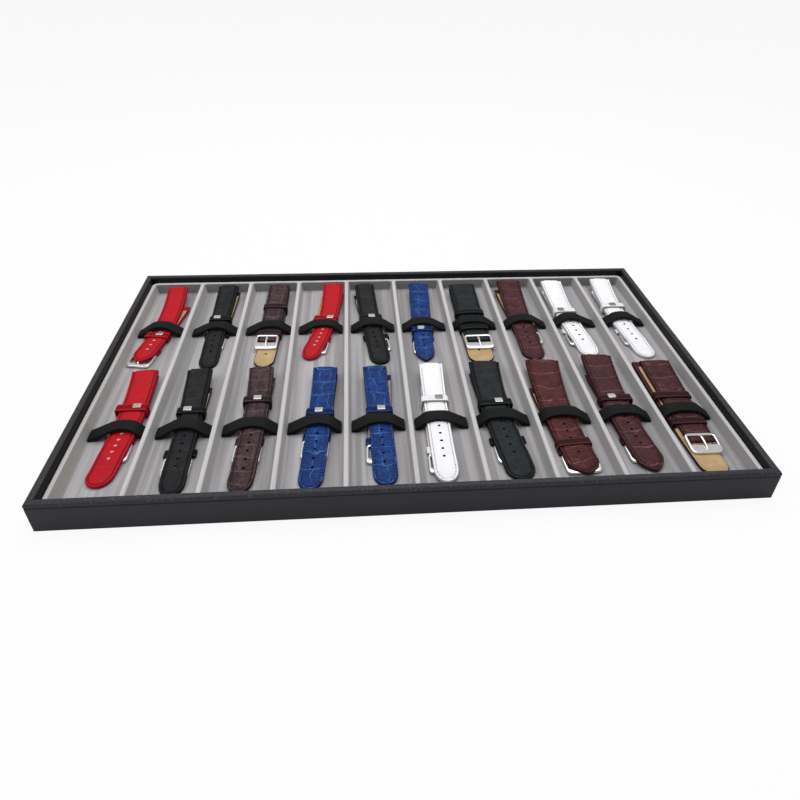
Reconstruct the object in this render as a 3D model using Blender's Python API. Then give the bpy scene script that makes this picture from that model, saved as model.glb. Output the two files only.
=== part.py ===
"""Watch display tray with twenty watch straps.

A low tray with leatherette rails round a base board holds one flocked liner
with ten long channels.  Each channel carries two strap sets, one behind the
other, and each set is held down by a black foam bridge.  Metres, +Z up.  The
origin is at the middle of the tray's underside, the long side lies along X
and the back of the tray is at +Y.
"""

import math
from collections import namedtuple

import bmesh
import bpy
import numpy as np
from mathutils import Vector

MM = 0.001

# Clearance between neighbouring pieces
GAP = 0.3 * MM

# Tray
TRAY_WIDTH = 420.0 * MM
TRAY_DEPTH = 277.0 * MM
TRAY_HEIGHT = 20.3 * MM
RAIL_WIDTH = 5.0 * MM
RAIL_ROLL_RADIUS = 1.8 * MM
RAIL_CREASE_DROP = 3.2 * MM
RAIL_CREASE_DEPTH = 0.35 * MM
BASE_THICKNESS = 3.0 * MM
BASE_EDGE = 0.4 * MM

# Liner
CHANNELS = 10
LINER_HEIGHT = 11.9 * MM
LINER_FLOOR = 3.4 * MM
LINER_CORNER_RADIUS = 5.0 * MM
LINER_EDGE_RADIUS = 0.8 * MM
RIM_FLAT = 1.7 * MM
RIDGE_FLAT = 1.0 * MM
RIDGE_ROLL = 1.1 * MM
WALL_DRAFT = math.radians(7.0)
FLOOR_FILLET = 1.2 * MM
POCKET_CORNER_RADIUS = 3.0 * MM

# Foam bridges
BRIDGE_LENGTH = 10.2 * MM
BRIDGE_THICKNESS = 1.9 * MM
BRIDGE_FOOT = 0.5 * MM
BRIDGE_EASE = 0.9 * MM
BRIDGE_ROW_SHIFT = 62.7 * MM
BRIDGE_ROWS_MIDDLE = -3.1 * MM
BRIDGE_SHOULDER = 0.28

# Straps
HOLED_LUG_THICKNESS = 4.1 * MM
HOLED_TIP_THICKNESS = 2.3 * MM
SHORT_LUG_THICKNESS = 3.0 * MM
SHORT_END_THICKNESS = 2.3 * MM
PADDING_END = 0.25
THINNING_END = 0.75
WIDTH_TAPER_END = 0.6
SHORT_LENGTH = 72.7 * MM
STRAP_BITE = 0.4 * MM
LUG_RISE = 2.4 * MM
TIP_LENGTH = 11.0 * MM
TIP_DROP_LENGTH = 14.0 * MM
TIP_RINGS = (0.35, 0.1, 0.0)
POINTED_TIP_WIDTH = 0.12
ROUND_TIP_WIDTH = 0.3
PATH_STEP = 1.0 * MM
LUG_STEPS = 4
SHORT_STEPS = 6
KEEPER_LENGTH = 6.5 * MM
KEEPER_WALL = 0.9 * MM
KEEPER_LIFT = 0.2 * MM
PLATE_WIDTH = 5.2 * MM
PLATE_LENGTH = 4.4 * MM
PLATE_THICKNESS = 0.6 * MM
PLATE_SET_BACK = 4.0 * MM
BUCKLE_LENGTH = 17.4 * MM
BUCKLE_THICKNESS = 2.2 * MM
BUCKLE_SIDE_BAR = 1.6 * MM
BUCKLE_FRONT_BAR = 4.5 * MM
BUCKLE_REAR_BAR = 2.0 * MM
BUCKLE_OVERHANG = 1.0 * MM
BUCKLE_STEP = 0.15 * MM
BUCKLE_TILT = 1.4 * MM
BUCKLE_FOLD = 0.6 * MM

# Heights that follow from the sizes above
LINER_BOTTOM = BASE_THICKNESS + GAP
LINER_TOP = LINER_BOTTOM + LINER_HEIGHT
CHANNEL_FLOOR = LINER_BOTTOM + LINER_FLOOR
STRAP_SEAT = CHANNEL_FLOOR + GAP
LINER_HALF_X = TRAY_WIDTH / 2 - RAIL_WIDTH - GAP
LINER_HALF_Y = TRAY_DEPTH / 2 - RAIL_WIDTH - GAP
WALL_TOP = LINER_TOP - RIDGE_ROLL
WALL_LEAN = (WALL_TOP - CHANNEL_FLOOR) * math.tan(WALL_DRAFT)

# Ten channels fill the liner between its two rims
CHANNEL_PITCH = (2 * (LINER_HALF_X - RIM_FLAT) + RIDGE_FLAT) / CHANNELS
FLOOR_HALF_WIDTH = CHANNEL_PITCH / 2 - RIDGE_FLAT / 2 - RIDGE_ROLL - WALL_LEAN - FLOOR_FILLET

# One strap set: the holed piece and the short piece with the buckle lie
# lining to lining.  Widths and places along Y are in millimetres, places from
# the middle of the tray.  Sideways shifts are hundredths of the channel
# floor's half width, from the channel's middle.  "path" gives the holed
# piece's shift at its lug end, at the bridge and at its tip, and "short_path"
# the short piece's shift at its lug end and at its buckle.  "extra" is how
# much longer than usual the short piece is.  A keeper is the place of its
# front edge.
StrapSet = namedtuple(
    "StrapSet",
    "leather widths ends path short_lug extra short_path upper keepers plate pointed",
)

RED = (0.50, 0.025, 0.035)
BLACK = (0.012, 0.013, 0.015)
DARK_BROWN = (0.065, 0.030, 0.030)
BLUE = (0.012, 0.045, 0.230)
GREEN_BLACK = (0.012, 0.017, 0.018)
BURGUNDY = (0.110, 0.014, 0.020)
CHESTNUT = (0.150, 0.026, 0.024)
WHITE = (0.85, 0.85, 0.88)

BACK_ROW = (
    StrapSet(
        RED, (16, 15.5), (124.4, 15.9), (3, 10, -43), 100, 0, (42, -27),
        upper="holed", keepers=(47,), plate=True, pointed=True,
    ),
    StrapSet(
        BLACK, (16.5, 14), (126.5, 7.7), (12, 11, 8), 121.5, 0, (22, 11),
        upper="holed", keepers=(69.5,), plate=True, pointed=False,
    ),
    StrapSet(
        DARK_BROWN, (17, 15), (125, 6.7), (25, 18, 2), 125.5, 8, (25, 6),
        upper="short", keepers=(86.4, 46.5), plate=False, pointed=False,
    ),
    StrapSet(
        RED, (17.5, 14.5), (126.1, 16), (52, 18, -50), 112, 0, (52, -7),
        upper="holed", keepers=(66.5,), plate=True, pointed=False,
    ),
    StrapSet(
        BLACK, (16.5, 15.5), (124.6, 7.8), (-31, -3, 32), 112.5, 0, (-38, 18),
        upper="holed", keepers=(66.5,), plate=True, pointed=False,
    ),
    StrapSet(
        BLUE, (17, 14.5), (124.1, 9.9), (7, -9, -15), 108, 0, (4, -14),
        upper="holed", keepers=(47.2,), plate=True, pointed=True,
    ),
    StrapSet(
        GREEN_BLACK, (22, 19.5), (118.5, 4.8), (-16, -15, -7), 120.5, 10, (-15, -4),
        upper="short", keepers=(70.6, 46), plate=False, pointed=False,
    ),
    StrapSet(
        BURGUNDY, (20.5, 17.5), (126.7, 6.9), (-4, -14, -7), 117.5, 0, (-24, -3),
        upper="holed", keepers=(), plate=False, pointed=True,
    ),
    StrapSet(
        WHITE, (18, 15.5), (124.7, 10), (-21, -20, 13), 114.5, 0, (-29, -17),
        upper="holed", keepers=(70.3,), plate=True, pointed=False,
    ),
    StrapSet(
        WHITE, (17.5, 15.5), (126.8, 6), (4, -10, 27), 112.5, 0, (-10, -1),
        upper="holed", keepers=(76.4,), plate=True, pointed=False,
    ),
)

FRONT_ROW = (
    StrapSet(
        RED, (17.5, 16), (-3.2, -114.2), (22, 28, -6), -4.5, 0, (23, 19),
        upper="holed", keepers=(-48.2,), plate=True, pointed=False,
    ),
    StrapSet(
        BLACK, (17, 15), (-3.1, -123.4), (1, 13, 13), -20, 0, (12, 10),
        upper="holed", keepers=(-53,), plate=True, pointed=False,
    ),
    StrapSet(
        DARK_BROWN, (17, 15), (-2.7, -123.3), (10, 15, -6), -10.5, 0, (13, 3),
        upper="holed", keepers=(-43.7,), plate=True, pointed=False,
    ),
    StrapSet(
        BLUE, (17, 15), (-5.2, -123.3), (34, 18, -8), -8.5, 0, (35, 8),
        upper="holed", keepers=(-58.4,), plate=True, pointed=False,
    ),
    StrapSet(
        BLUE, (17, 15), (-5.5, -122.2), (-2, 8, 17), -11.5, 3.5, (15, 1),
        upper="holed", keepers=(-58.3,), plate=True, pointed=False,
    ),
    StrapSet(
        WHITE, (17, 15), (-4.2, -122.2), (-6, -13, -12), -26, 0, (-10, -20),
        upper="holed", keepers=(-49.1,), plate=True, pointed=False,
    ),
    StrapSet(
        GREEN_BLACK, (22, 18.5), (-3.2, -122.2), (-17, -17, 19), -12.5, 6.5, (-24, -3),
        upper="holed", keepers=(-54.5,), plate=True, pointed=False,
    ),
    StrapSet(
        CHESTNUT, (24, 20), (-3.5, -121.1), (-5, -19, 8), -31, 0, (-23, -5),
        upper="holed", keepers=(-96.8,), plate=False, pointed=True,
    ),
    StrapSet(
        BURGUNDY, (22, 18), (1.3, -120), (1, -12, 15), -17.5, 6, (-10, 0),
        upper="holed", keepers=(-53.7,), plate=True, pointed=True,
    ),
    StrapSet(
        BURGUNDY, (22, 18.5), (-6.3, -126.1), (-26, -24, -8), -8.5, 11, (1, -3),
        upper="short", keepers=(-52.9, -80.6), plate=False, pointed=False,
    ),
)

# A strap's section from one lower corner round to the other: share of the
# half width, and share of the thickness
STRAP_SECTION = ((-1.0, 0.0), (1.0, 0.0), (1.0, 0.55), (0.74, 1.0), (-0.74, 1.0), (-1.0, 0.55))
BLOCK_SECTION = ((-1.0, 0.0), (1.0, 0.0), (1.0, 1.0), (-1.0, 1.0))


def clear_scene():
    """Remove every object of the start-up scene."""
    for item in list(bpy.data.objects):
        bpy.data.objects.remove(item, do_unlink=True)


def make_material(name, colour, roughness, metallic=0.0):
    """Give one Principled material in a plain colour."""
    material = bpy.data.materials.new(name)
    material.use_nodes = True
    shader = material.node_tree.nodes["Principled BSDF"]
    shader.inputs["Base Color"].default_value = (*colour, 1.0)
    shader.inputs["Roughness"].default_value = roughness
    shader.inputs["Metallic"].default_value = metallic
    return material


def loft(name, rings, material=None):
    """Join rings of as many points each into one closed body with flat ends."""
    shape = bmesh.new()
    rows = [[shape.verts.new(Vector(point)) for point in ring] for ring in rings]
    count = len(rows[0])
    for first, second in zip(rows, rows[1:]):
        for i in range(count):
            j = (i + 1) % count
            shape.faces.new((first[i], first[j], second[j], second[i]))
    shape.faces.new(rows[0])
    shape.faces.new(rows[-1])
    return finish_shape(name, shape, material)


def finish_shape(name, shape, material=None):
    """Turn a closed bmesh into an object, with flat triangles and faces out."""
    bmesh.ops.recalc_face_normals(shape, faces=shape.faces)
    bmesh.ops.triangulate(shape, faces=shape.faces)
    mesh = bpy.data.meshes.new(name)
    shape.to_mesh(mesh)
    shape.free()
    item = bpy.data.objects.new(name, mesh)
    if material is not None:
        mesh.materials.append(material)
    bpy.context.scene.collection.objects.link(item)
    return item


def hide_tool(item):
    """Mark a body that only shapes another one."""
    item.hide_render = True
    item.display_type = "WIRE"


def add_boolean(item, tool, operation):
    """Cut a tool body from an object, or fuse it to the object."""
    step = item.modifiers.new(operation.lower(), "BOOLEAN")
    step.operation = operation
    step.solver = "EXACT"
    step.object = tool
    hide_tool(tool)


def rounded_rectangle(centre_x, half_x, half_y, radius, z, steps=3):
    """Outline of a rectangle with round corners, at one height."""
    points = []
    for turn, (sx, sy) in enumerate(((1, 1), (-1, 1), (-1, -1), (1, -1))):
        for step in range(steps + 1):
            angle = math.pi / 2 * (turn + step / steps)
            x = centre_x + sx * (half_x - radius) + radius * math.cos(angle)
            y = sy * (half_y - radius) + radius * math.sin(angle)
            points.append((x, y, z))
    return points


def rail_section():
    """Rail outline as (distance in from the outer face, height)."""
    top = TRAY_HEIGHT
    roll = RAIL_ROLL_RADIUS
    crease = top - RAIL_CREASE_DROP
    points = [(0.0, 0.0), (0.0, crease - RAIL_CREASE_DEPTH)]
    points.append((RAIL_CREASE_DEPTH, crease))
    points.append((0.0, crease + RAIL_CREASE_DEPTH))
    for angle in np.radians((0.0, 30.0, 60.0, 90.0)):
        points.append((roll * (1.0 - math.cos(angle)), top - roll * (1.0 - math.sin(angle))))
    for angle in np.radians((90.0, 60.0, 30.0, 0.0)):
        points.append((RAIL_WIDTH - roll * (1.0 - math.cos(angle)), top - roll * (1.0 - math.sin(angle))))
    points.append((RAIL_WIDTH, 0.0))
    return points


def make_rails(material):
    """Four rails with mitred ends, wrapped in black leatherette."""
    section = rail_section()
    seam = GAP / math.sqrt(2.0)
    half_x = TRAY_WIDTH / 2
    half_y = TRAY_DEPTH / 2
    for name, side in (("rail_front", -1), ("rail_back", 1)):
        ends = []
        for end in (-1, 1):
            reach = end * (half_x - seam)
            ends.append([(reach - end * inset, side * (half_y - inset), z) for inset, z in section])
        loft(name, ends, material)
    for name, side in (("rail_left", -1), ("rail_right", 1)):
        ends = []
        for end in (-1, 1):
            reach = end * (half_y - seam)
            ends.append([(side * (half_x - inset), reach - end * inset, z) for inset, z in section])
        loft(name, ends, material)


def make_base(material):
    """Board that closes the tray's underside between the rails."""
    rings = []
    for z, inset in ((0.0, BASE_EDGE), (BASE_EDGE, 0.0), (BASE_THICKNESS, 0.0)):
        rings.append(rounded_rectangle(0.0, LINER_HALF_X - inset, LINER_HALF_Y - inset, BASE_EDGE, z, 1))
    loft("base_board", rings, material)


def channel_middle(column):
    """Sideways place of a channel, counted from one at the left."""
    return (column - (CHANNELS + 1) / 2) * CHANNEL_PITCH


def pocket_rings(middle):
    """Outlines of one channel from above the liner down to its floor."""
    top_half_x = CHANNEL_PITCH / 2 - RIDGE_FLAT / 2
    top_half_y = LINER_HALF_Y - RIM_FLAT
    levels = [(LINER_TOP + RIDGE_ROLL, 0.0)]
    for angle in np.radians((90.0, 55.0, 25.0, 0.0)):
        levels.append((WALL_TOP + RIDGE_ROLL * math.sin(angle), RIDGE_ROLL * math.cos(angle)))
    for angle in np.radians((0.0, 45.0, 90.0)):
        z = CHANNEL_FLOOR + FLOOR_FILLET * (1.0 - math.sin(angle))
        levels.append((z, RIDGE_ROLL + WALL_LEAN + FLOOR_FILLET * (1.0 - math.cos(angle))))
    rings = []
    for z, inset in levels:
        radius = POCKET_CORNER_RADIUS - min(inset, POCKET_CORNER_RADIUS / 2)
        rings.append(rounded_rectangle(middle, top_half_x - inset, top_half_y - inset, radius, z))
    return rings


def make_liner(material):
    """One flocked liner with ten channels that run from front to back."""
    levels = []
    for angle in np.radians((90.0, 45.0, 0.0)):
        z = LINER_TOP - LINER_EDGE_RADIUS * (1.0 - math.sin(angle))
        levels.append((z, LINER_EDGE_RADIUS * (1.0 - math.cos(angle))))
    levels.append((LINER_BOTTOM, 0.0))
    rings = []
    for z, inset in levels:
        radius = LINER_CORNER_RADIUS - inset
        rings.append(rounded_rectangle(0.0, LINER_HALF_X - inset, LINER_HALF_Y - inset, radius, z))
    liner = loft("liner", rings, material)
    for column in range(1, CHANNELS + 1):
        pocket = loft(f"pocket_{column:02d}", pocket_rings(channel_middle(column)))
        add_boolean(liner, pocket, "DIFFERENCE")
    return liner


def holed_thickness(share):
    """Thickness of the holed piece, from its padded lug end (0) to its tip (1)."""
    fade = min(max((share - PADDING_END) / (THINNING_END - PADDING_END), 0.0), 1.0)
    return HOLED_LUG_THICKNESS + (HOLED_TIP_THICKNESS - HOLED_LUG_THICKNESS) * fade


def short_thickness(share):
    """Thickness of the short piece, from its lug end (0) to its buckle (1)."""
    return SHORT_LUG_THICKNESS + (SHORT_END_THICKNESS - SHORT_LUG_THICKNESS) * share


class StrapLayout:
    """Where the two pieces of one strap set lie in their channel."""

    def __init__(self, strap, column, bridge_y):
        self.strap = strap
        self.middle = channel_middle(column)
        self.bridge_y = bridge_y
        self.lug_y, self.tip_y = (place * MM for place in strap.ends)
        self.short_lug_y = strap.short_lug * MM
        self.short_length = SHORT_LENGTH + strap.extra * MM
        self.bar_y = self.short_lug_y - self.short_length
        self.buckle_front_y = self.bar_y - BUCKLE_LENGTH + BUCKLE_REAR_BAR
        self.lug_width, self.tip_width = (width * MM for width in strap.widths)

    def holed_share(self, y):
        """Share of the holed piece's length that lies behind y."""
        return (self.lug_y - y) / (self.lug_y - self.tip_y)

    def short_share(self, y):
        """Share of the short piece's length that lies behind y."""
        return (self.short_lug_y - y) / self.short_length

    def holed_x(self, y):
        """Middle of the holed piece: a parabola through its three places."""
        ys = (self.lug_y, self.bridge_y, self.tip_y)
        total = 0.0
        for i, shift in enumerate(self.strap.path):
            weight = 1.0
            for j, other in enumerate(ys):
                if j != i:
                    weight *= (y - other) / (ys[i] - other)
            total += weight * shift
        return self.middle + total * FLOOR_HALF_WIDTH / 100

    def short_x(self, y):
        """Middle of the short piece: a straight line."""
        start, end = self.strap.short_path
        shift = start + (end - start) * self.short_share(y)
        return self.middle + shift * FLOOR_HALF_WIDTH / 100

    def holed_half(self, y):
        """Half width of the holed piece away from its tip."""
        share = min(max(self.holed_share(y) / WIDTH_TAPER_END, 0.0), 1.0)
        return (self.lug_width + (self.tip_width - self.lug_width) * share) / 2

    def short_half(self, y):
        """Half width of the short piece."""
        share = min(max(self.short_share(y), 0.0), 1.0)
        return (self.lug_width + (self.tip_width - self.lug_width) * share) / 2

    def seat(self, y):
        """Height of the lower piece's underside: its lug end springs up."""
        start = self.bridge_y + BRIDGE_LENGTH / 2
        share = max((y - start) / (self.lug_y - start), 0.0)
        return STRAP_SEAT + LUG_RISE * share ** 2

    def lower_top(self, y):
        """Height of the lower piece's upper face."""
        if self.strap.upper == "short":
            return self.seat(y) + holed_thickness(self.holed_share(y))
        share = min(max(self.short_share(y), 0.0), 1.0)
        return self.seat(y) + short_thickness(share)

    def upper_bottom(self, y):
        """Height of the upper piece's lower face: it comes down past the buckle."""
        height = self.lower_top(y) - STRAP_BITE
        if self.strap.upper == "short":
            return height
        fall = min(max((self.buckle_front_y + BUCKLE_FRONT_BAR - y) / TIP_DROP_LENGTH, 0.0), 1.0)
        return height + (self.seat(y) - height) * fall

    def stack_top(self, y):
        """Height of the whole set."""
        if self.strap.upper == "short":
            return self.upper_bottom(y) + short_thickness(self.short_share(y))
        return self.upper_bottom(y) + holed_thickness(self.holed_share(y))

    def edges(self, y):
        """Lowest and highest X that either piece reaches."""
        left = min(self.holed_x(y) - self.holed_half(y), self.short_x(y) - self.short_half(y))
        right = max(self.holed_x(y) + self.holed_half(y), self.short_x(y) + self.short_half(y))
        return left, right


def cross_ring(x, y, direction, half_width, bottom, height, section):
    """One section across a path, at right angles to it."""
    ring = []
    for across, up in section:
        side = half_width * across
        ring.append((x - direction[1] * side, y + direction[0] * side, bottom + height * up))
    return ring


def path_direction(place, y):
    """Unit direction of a path x = place(y) towards the front."""
    dx = place(y - PATH_STEP) - place(y + PATH_STEP)
    length = math.hypot(dx, 2 * PATH_STEP)
    return dx / length, -2 * PATH_STEP / length


def tip_share(distance, pointed):
    """Share of the full width at a distance behind the very tip."""
    u = min(max(distance / TIP_LENGTH, 0.0), 1.0)
    if pointed:
        return POINTED_TIP_WIDTH + (1.0 - POINTED_TIP_WIDTH) * math.sin(math.pi / 2 * u)
    return ROUND_TIP_WIDTH + (1.0 - ROUND_TIP_WIDTH) * math.sqrt(1.0 - (1.0 - u) ** 2)


def make_holed_piece(name, layout):
    """The long piece with the holes, lug end first."""
    length = layout.lug_y - layout.tip_y
    shares = [PADDING_END * step / LUG_STEPS for step in range(LUG_STEPS + 1)]
    shares += [(PADDING_END + THINNING_END) / 2, THINNING_END]
    places = [layout.lug_y - share * length for share in shares]
    places += [layout.tip_y + share * TIP_LENGTH for share in TIP_RINGS]
    rings = []
    for y in places:
        half = layout.holed_half(y) * tip_share(y - layout.tip_y, layout.strap.pointed)
        if layout.strap.upper == "short":
            bottom = layout.seat(y)
        else:
            bottom = layout.upper_bottom(y)
        direction = path_direction(layout.holed_x, y)
        height = holed_thickness(layout.holed_share(y))
        rings.append(cross_ring(layout.holed_x(y), y, direction, half, bottom, height, STRAP_SECTION))
    return loft(name, rings)


def make_short_piece(name, layout, material):
    """The short piece that ends at the buckle."""
    rings = []
    reach = layout.short_length + BUCKLE_FOLD
    for step in range(SHORT_STEPS + 1):
        y = layout.short_lug_y - step / SHORT_STEPS * reach
        bottom = layout.seat(y)
        if layout.strap.upper == "short":
            bottom = layout.upper_bottom(y)
        direction = path_direction(layout.short_x, y)
        half = layout.short_half(y)
        height = short_thickness(layout.short_share(y))
        rings.append(cross_ring(layout.short_x(y), y, direction, half, bottom, height, STRAP_SECTION))
    return loft(name, rings, material)


def make_block(name, x, y, half_x, half_y, bottom, top):
    """A plain block that is fused to a strap."""
    rings = []
    for end in (half_y, -half_y):
        rings.append(cross_ring(x, y + end, (0.0, -1.0), half_x, bottom, top - bottom, BLOCK_SECTION))
    return loft(name, rings)


def make_keepers(name, layout):
    """Leather loops round both pieces, with a bare metal plate where one is seen."""
    pieces = []
    for number, front in enumerate(layout.strap.keepers):
        y = front * MM + KEEPER_LENGTH / 2
        left, right = layout.edges(y)
        top = layout.stack_top(y + KEEPER_LENGTH / 2) + KEEPER_WALL
        half = (right - left) / 2 + KEEPER_WALL
        x = (left + right) / 2
        bottom = STRAP_SEAT + KEEPER_LIFT
        pieces.append(make_block(f"{name}_keeper_{number}", x, y, half, KEEPER_LENGTH / 2, bottom, top))
        if layout.strap.plate:
            y = front * MM + PLATE_SET_BACK
            x = layout.holed_x(y)
            low = top - PLATE_THICKNESS
            high = top + PLATE_THICKNESS
            pieces.append(make_block(f"{name}_plate", x, y, PLATE_WIDTH / 2, PLATE_LENGTH / 2, low, high))
    return pieces


def make_fixed_keeper(name, layout):
    """Narrow loop on the short piece, just behind its buckle."""
    y = layout.bar_y + BUCKLE_REAR_BAR + GAP + KEEPER_LENGTH / 2
    half = layout.short_half(y) + KEEPER_WALL
    bottom = STRAP_SEAT + KEEPER_LIFT
    top = layout.lower_top(y) + KEEPER_LIFT
    return make_block(f"{name}_fixed_keeper", layout.short_x(y), y, half, KEEPER_LENGTH / 2, bottom, top)


def make_buckle(name, layout):
    """Flat pin buckle: a frame with a wide front bar, round the strap's end."""
    half = layout.short_half(layout.bar_y) + BUCKLE_OVERHANG
    direction = path_direction(layout.short_x, layout.bar_y)
    bottom = STRAP_SEAT + BUCKLE_STEP
    tilt = 0.0
    if layout.strap.upper == "short":
        bottom = layout.lower_top(layout.bar_y) - STRAP_BITE - BUCKLE_STEP
        tilt = BUCKLE_TILT
    front = BUCKLE_LENGTH - BUCKLE_REAR_BAR
    outer = (half, -BUCKLE_REAR_BAR, front)
    inner = (half - BUCKLE_SIDE_BAR, 0.0, front - BUCKLE_FRONT_BAR)
    top = bottom + BUCKLE_THICKNESS
    start_x = layout.short_x(layout.bar_y)
    shape = bmesh.new()
    loops = []
    for (side, rear_end, front_end), z in ((outer, bottom), (outer, top), (inner, top), (inner, bottom)):
        loop = []
        for across, along in ((-side, rear_end), (side, rear_end), (side, front_end), (-side, front_end)):
            x = start_x - direction[1] * across + direction[0] * along
            y = layout.bar_y + direction[0] * across + direction[1] * along
            lift = tilt * (1.0 - along / front)
            loop.append(shape.verts.new((x, y, z + lift)))
        loops.append(loop)
    for first, second in zip(loops, loops[1:] + loops[:1]):
        for i in range(4):
            j = (i + 1) % 4
            shape.faces.new((first[i], first[j], second[j], second[i]))
    return finish_shape(f"{name}_buckle", shape)


def make_strap(name, layout):
    """One strap set, its two pieces, loops, plate and buckle as one body."""
    material = make_material(f"{name}_leather", layout.strap.leather, 0.45)
    strap = make_short_piece(name, layout, material)
    additions = [make_holed_piece(f"{name}_holed", layout), make_buckle(name, layout)]
    additions += make_keepers(name, layout)
    if layout.strap.upper == "holed":
        additions.append(make_fixed_keeper(name, layout))
    for piece in additions:
        add_boolean(strap, piece, "UNION")
    return strap


def make_bridge(name, layout, material):
    """Foam band that rises from the channel floor, over the strap and down."""
    half_span = CHANNEL_PITCH / 2 - RIDGE_FLAT / 2 - RIDGE_ROLL - WALL_LEAN
    half_span -= FLOOR_FILLET - GAP * math.sqrt(2.0)
    back = layout.bridge_y + BRIDGE_LENGTH / 2
    front = layout.bridge_y - BRIDGE_LENGTH / 2
    edges = [layout.edges(y) for y in (back, front)]
    left = min(edge[0] for edge in edges) - BRIDGE_EASE - layout.middle
    right = max(edge[1] for edge in edges) + BRIDGE_EASE - layout.middle
    under = layout.stack_top(back) + GAP
    foot = half_span - BRIDGE_FOOT
    shoulder_z = under - (under - STRAP_SEAT) * BRIDGE_SHOULDER
    shoulder_left = left - (foot + left) * BRIDGE_SHOULDER / 2
    shoulder_right = right + (foot - right) * BRIDGE_SHOULDER / 2
    profile = [(-half_span, STRAP_SEAT), (-foot, STRAP_SEAT), (shoulder_left, shoulder_z)]
    profile += [(left + BRIDGE_EASE, under), (right - BRIDGE_EASE, under)]
    profile += [(shoulder_right, shoulder_z), (foot, STRAP_SEAT), (half_span, STRAP_SEAT)]
    rings = []
    for x, z in profile:
        corners = ((back, 0.0), (front, 0.0), (front, BRIDGE_THICKNESS), (back, BRIDGE_THICKNESS))
        rings.append([(layout.middle + x, y, z + rise) for y, rise in corners])
    return loft(name, rings, material)


def build():
    """Build the whole tray."""
    clear_scene()
    leatherette = make_material("black_leatherette", (0.018, 0.018, 0.020), 0.45)
    board = make_material("base_board", (0.03, 0.03, 0.032), 0.8)
    flock = make_material("grey_flock", (0.36, 0.355, 0.36), 0.95)
    foam = make_material("black_foam", (0.010, 0.011, 0.012), 0.7)
    make_rails(leatherette)
    make_base(board)
    make_liner(flock)
    rows = (("back", BACK_ROW, BRIDGE_ROW_SHIFT), ("front", FRONT_ROW, -BRIDGE_ROW_SHIFT))
    for row, sets, shift in rows:
        bridge_y = BRIDGE_ROWS_MIDDLE + shift
        for column, strap in enumerate(sets, start=1):
            layout = StrapLayout(strap, column, bridge_y)
            make_strap(f"strap_{row}_{column:02d}", layout)
            make_bridge(f"bridge_{row}_{column:02d}", layout, foam)


build()
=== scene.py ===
"""Looks of a watch display tray: leatherette rails, a flocked liner with ten
channels, foam bridges and twenty leather watch straps with steel buckles."""

import math
from collections import namedtuple

import bmesh
import bpy
import numpy as np
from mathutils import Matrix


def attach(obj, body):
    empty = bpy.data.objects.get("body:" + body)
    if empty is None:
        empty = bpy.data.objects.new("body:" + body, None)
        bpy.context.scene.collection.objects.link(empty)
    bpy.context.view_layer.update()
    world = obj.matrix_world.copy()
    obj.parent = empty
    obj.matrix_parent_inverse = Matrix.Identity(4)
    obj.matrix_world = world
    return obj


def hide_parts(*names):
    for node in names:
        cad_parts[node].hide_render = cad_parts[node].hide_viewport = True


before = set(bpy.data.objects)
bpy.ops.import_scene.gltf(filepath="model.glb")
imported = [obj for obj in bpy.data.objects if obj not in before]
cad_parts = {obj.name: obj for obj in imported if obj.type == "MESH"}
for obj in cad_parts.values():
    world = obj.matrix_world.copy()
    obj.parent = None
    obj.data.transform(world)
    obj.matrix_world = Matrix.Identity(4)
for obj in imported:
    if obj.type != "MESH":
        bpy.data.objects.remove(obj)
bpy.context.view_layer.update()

# Sizes in millimetres, as on the solids where these have them
MM = 0.001
GAP = 0.3

# Tray and rails
TRAY_WIDTH, TRAY_DEPTH, TRAY_HEIGHT = 420.0, 277.0, 20.3
RAIL_WIDTH, RAIL_ROLL, RAIL_CROWN, RAIL_FOOT = 5.0, 1.8, 0.12, 0.35
CREASE_DROP, CREASE_DEPTH, CREASE_HALF = 3.2, 0.22, 0.55

# Liner; a ring at LINER_WAIST parts its tall outer side
LINER_BOTTOM, LINER_WAIST, LINER_TOP, CHANNEL_FLOOR = 3.3, 9.0, 15.2, 6.7
LINER_HALF_X, LINER_HALF_Y, LINER_CORNER, LINER_EDGE = 204.7, 133.2, 5.0, 0.8
CHANNELS, PITCH, RIDGE_FLAT, RIDGE_ROLL, RIM_FLAT = 10, 40.7, 1.0, 1.1, 1.7
WALL_TOP = LINER_TOP - RIDGE_ROLL
WALL_LEAN = (WALL_TOP - CHANNEL_FLOOR) * math.tan(math.radians(7.0))
FLOOR_FILLET, POCKET_CORNER = 1.2, 3.0
FLOOR_HALF = PITCH / 2 - RIDGE_FLAT / 2 - RIDGE_ROLL - WALL_LEAN - FLOOR_FILLET
SEAT = CHANNEL_FLOOR + GAP

# Points along a liner outline's side and end, and round each corner
SIDE_POINTS, END_POINTS, CORNER_POINTS = 23, 7, 9

# Foam bridges: the thickness of a foot and how far it reaches in, the least
# thickness anywhere, what the part over the strap has above it, the bevel of
# the long edges, and how softly the slopes bend
BRIDGE_LENGTH, BRIDGE_BACK, BRIDGE_FRONT, BRIDGE_DRAW = 10.2, 59.6, -65.8, 1.5
FOOT_THICKNESS, FOOT_REACH, LEAST_THICKNESS = 1.5, 5.5, 0.8
BRIDGE_LIFT, BRIDGE_BEVEL, BRIDGE_BEND, BRIDGE_CROWN = 0.45, 0.22, 1.6, 0.9

# Strap pieces: the holed piece narrows and thins over shares of its length, the
# short piece over all of its length up to the bar, and runs on a little past it
SHORT_LENGTH, TIP_LENGTH, TIP_DROP = 72.7, 11.0, 14.0
HOLED_THICKNESS, HOLED_THINNING = 4.1, 1.8
SHORT_THICKNESS, SHORT_THINNING = 3.0, 0.7
WIDTH_TAPER, THINNING_START, THINNING_RUN = 0.6, 0.25, 0.5
PAST_BAR, PAST_BAR_ON_TOP = 0.6, 4.6
BITE = 0.4
LUG_RISE = 2.4

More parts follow.
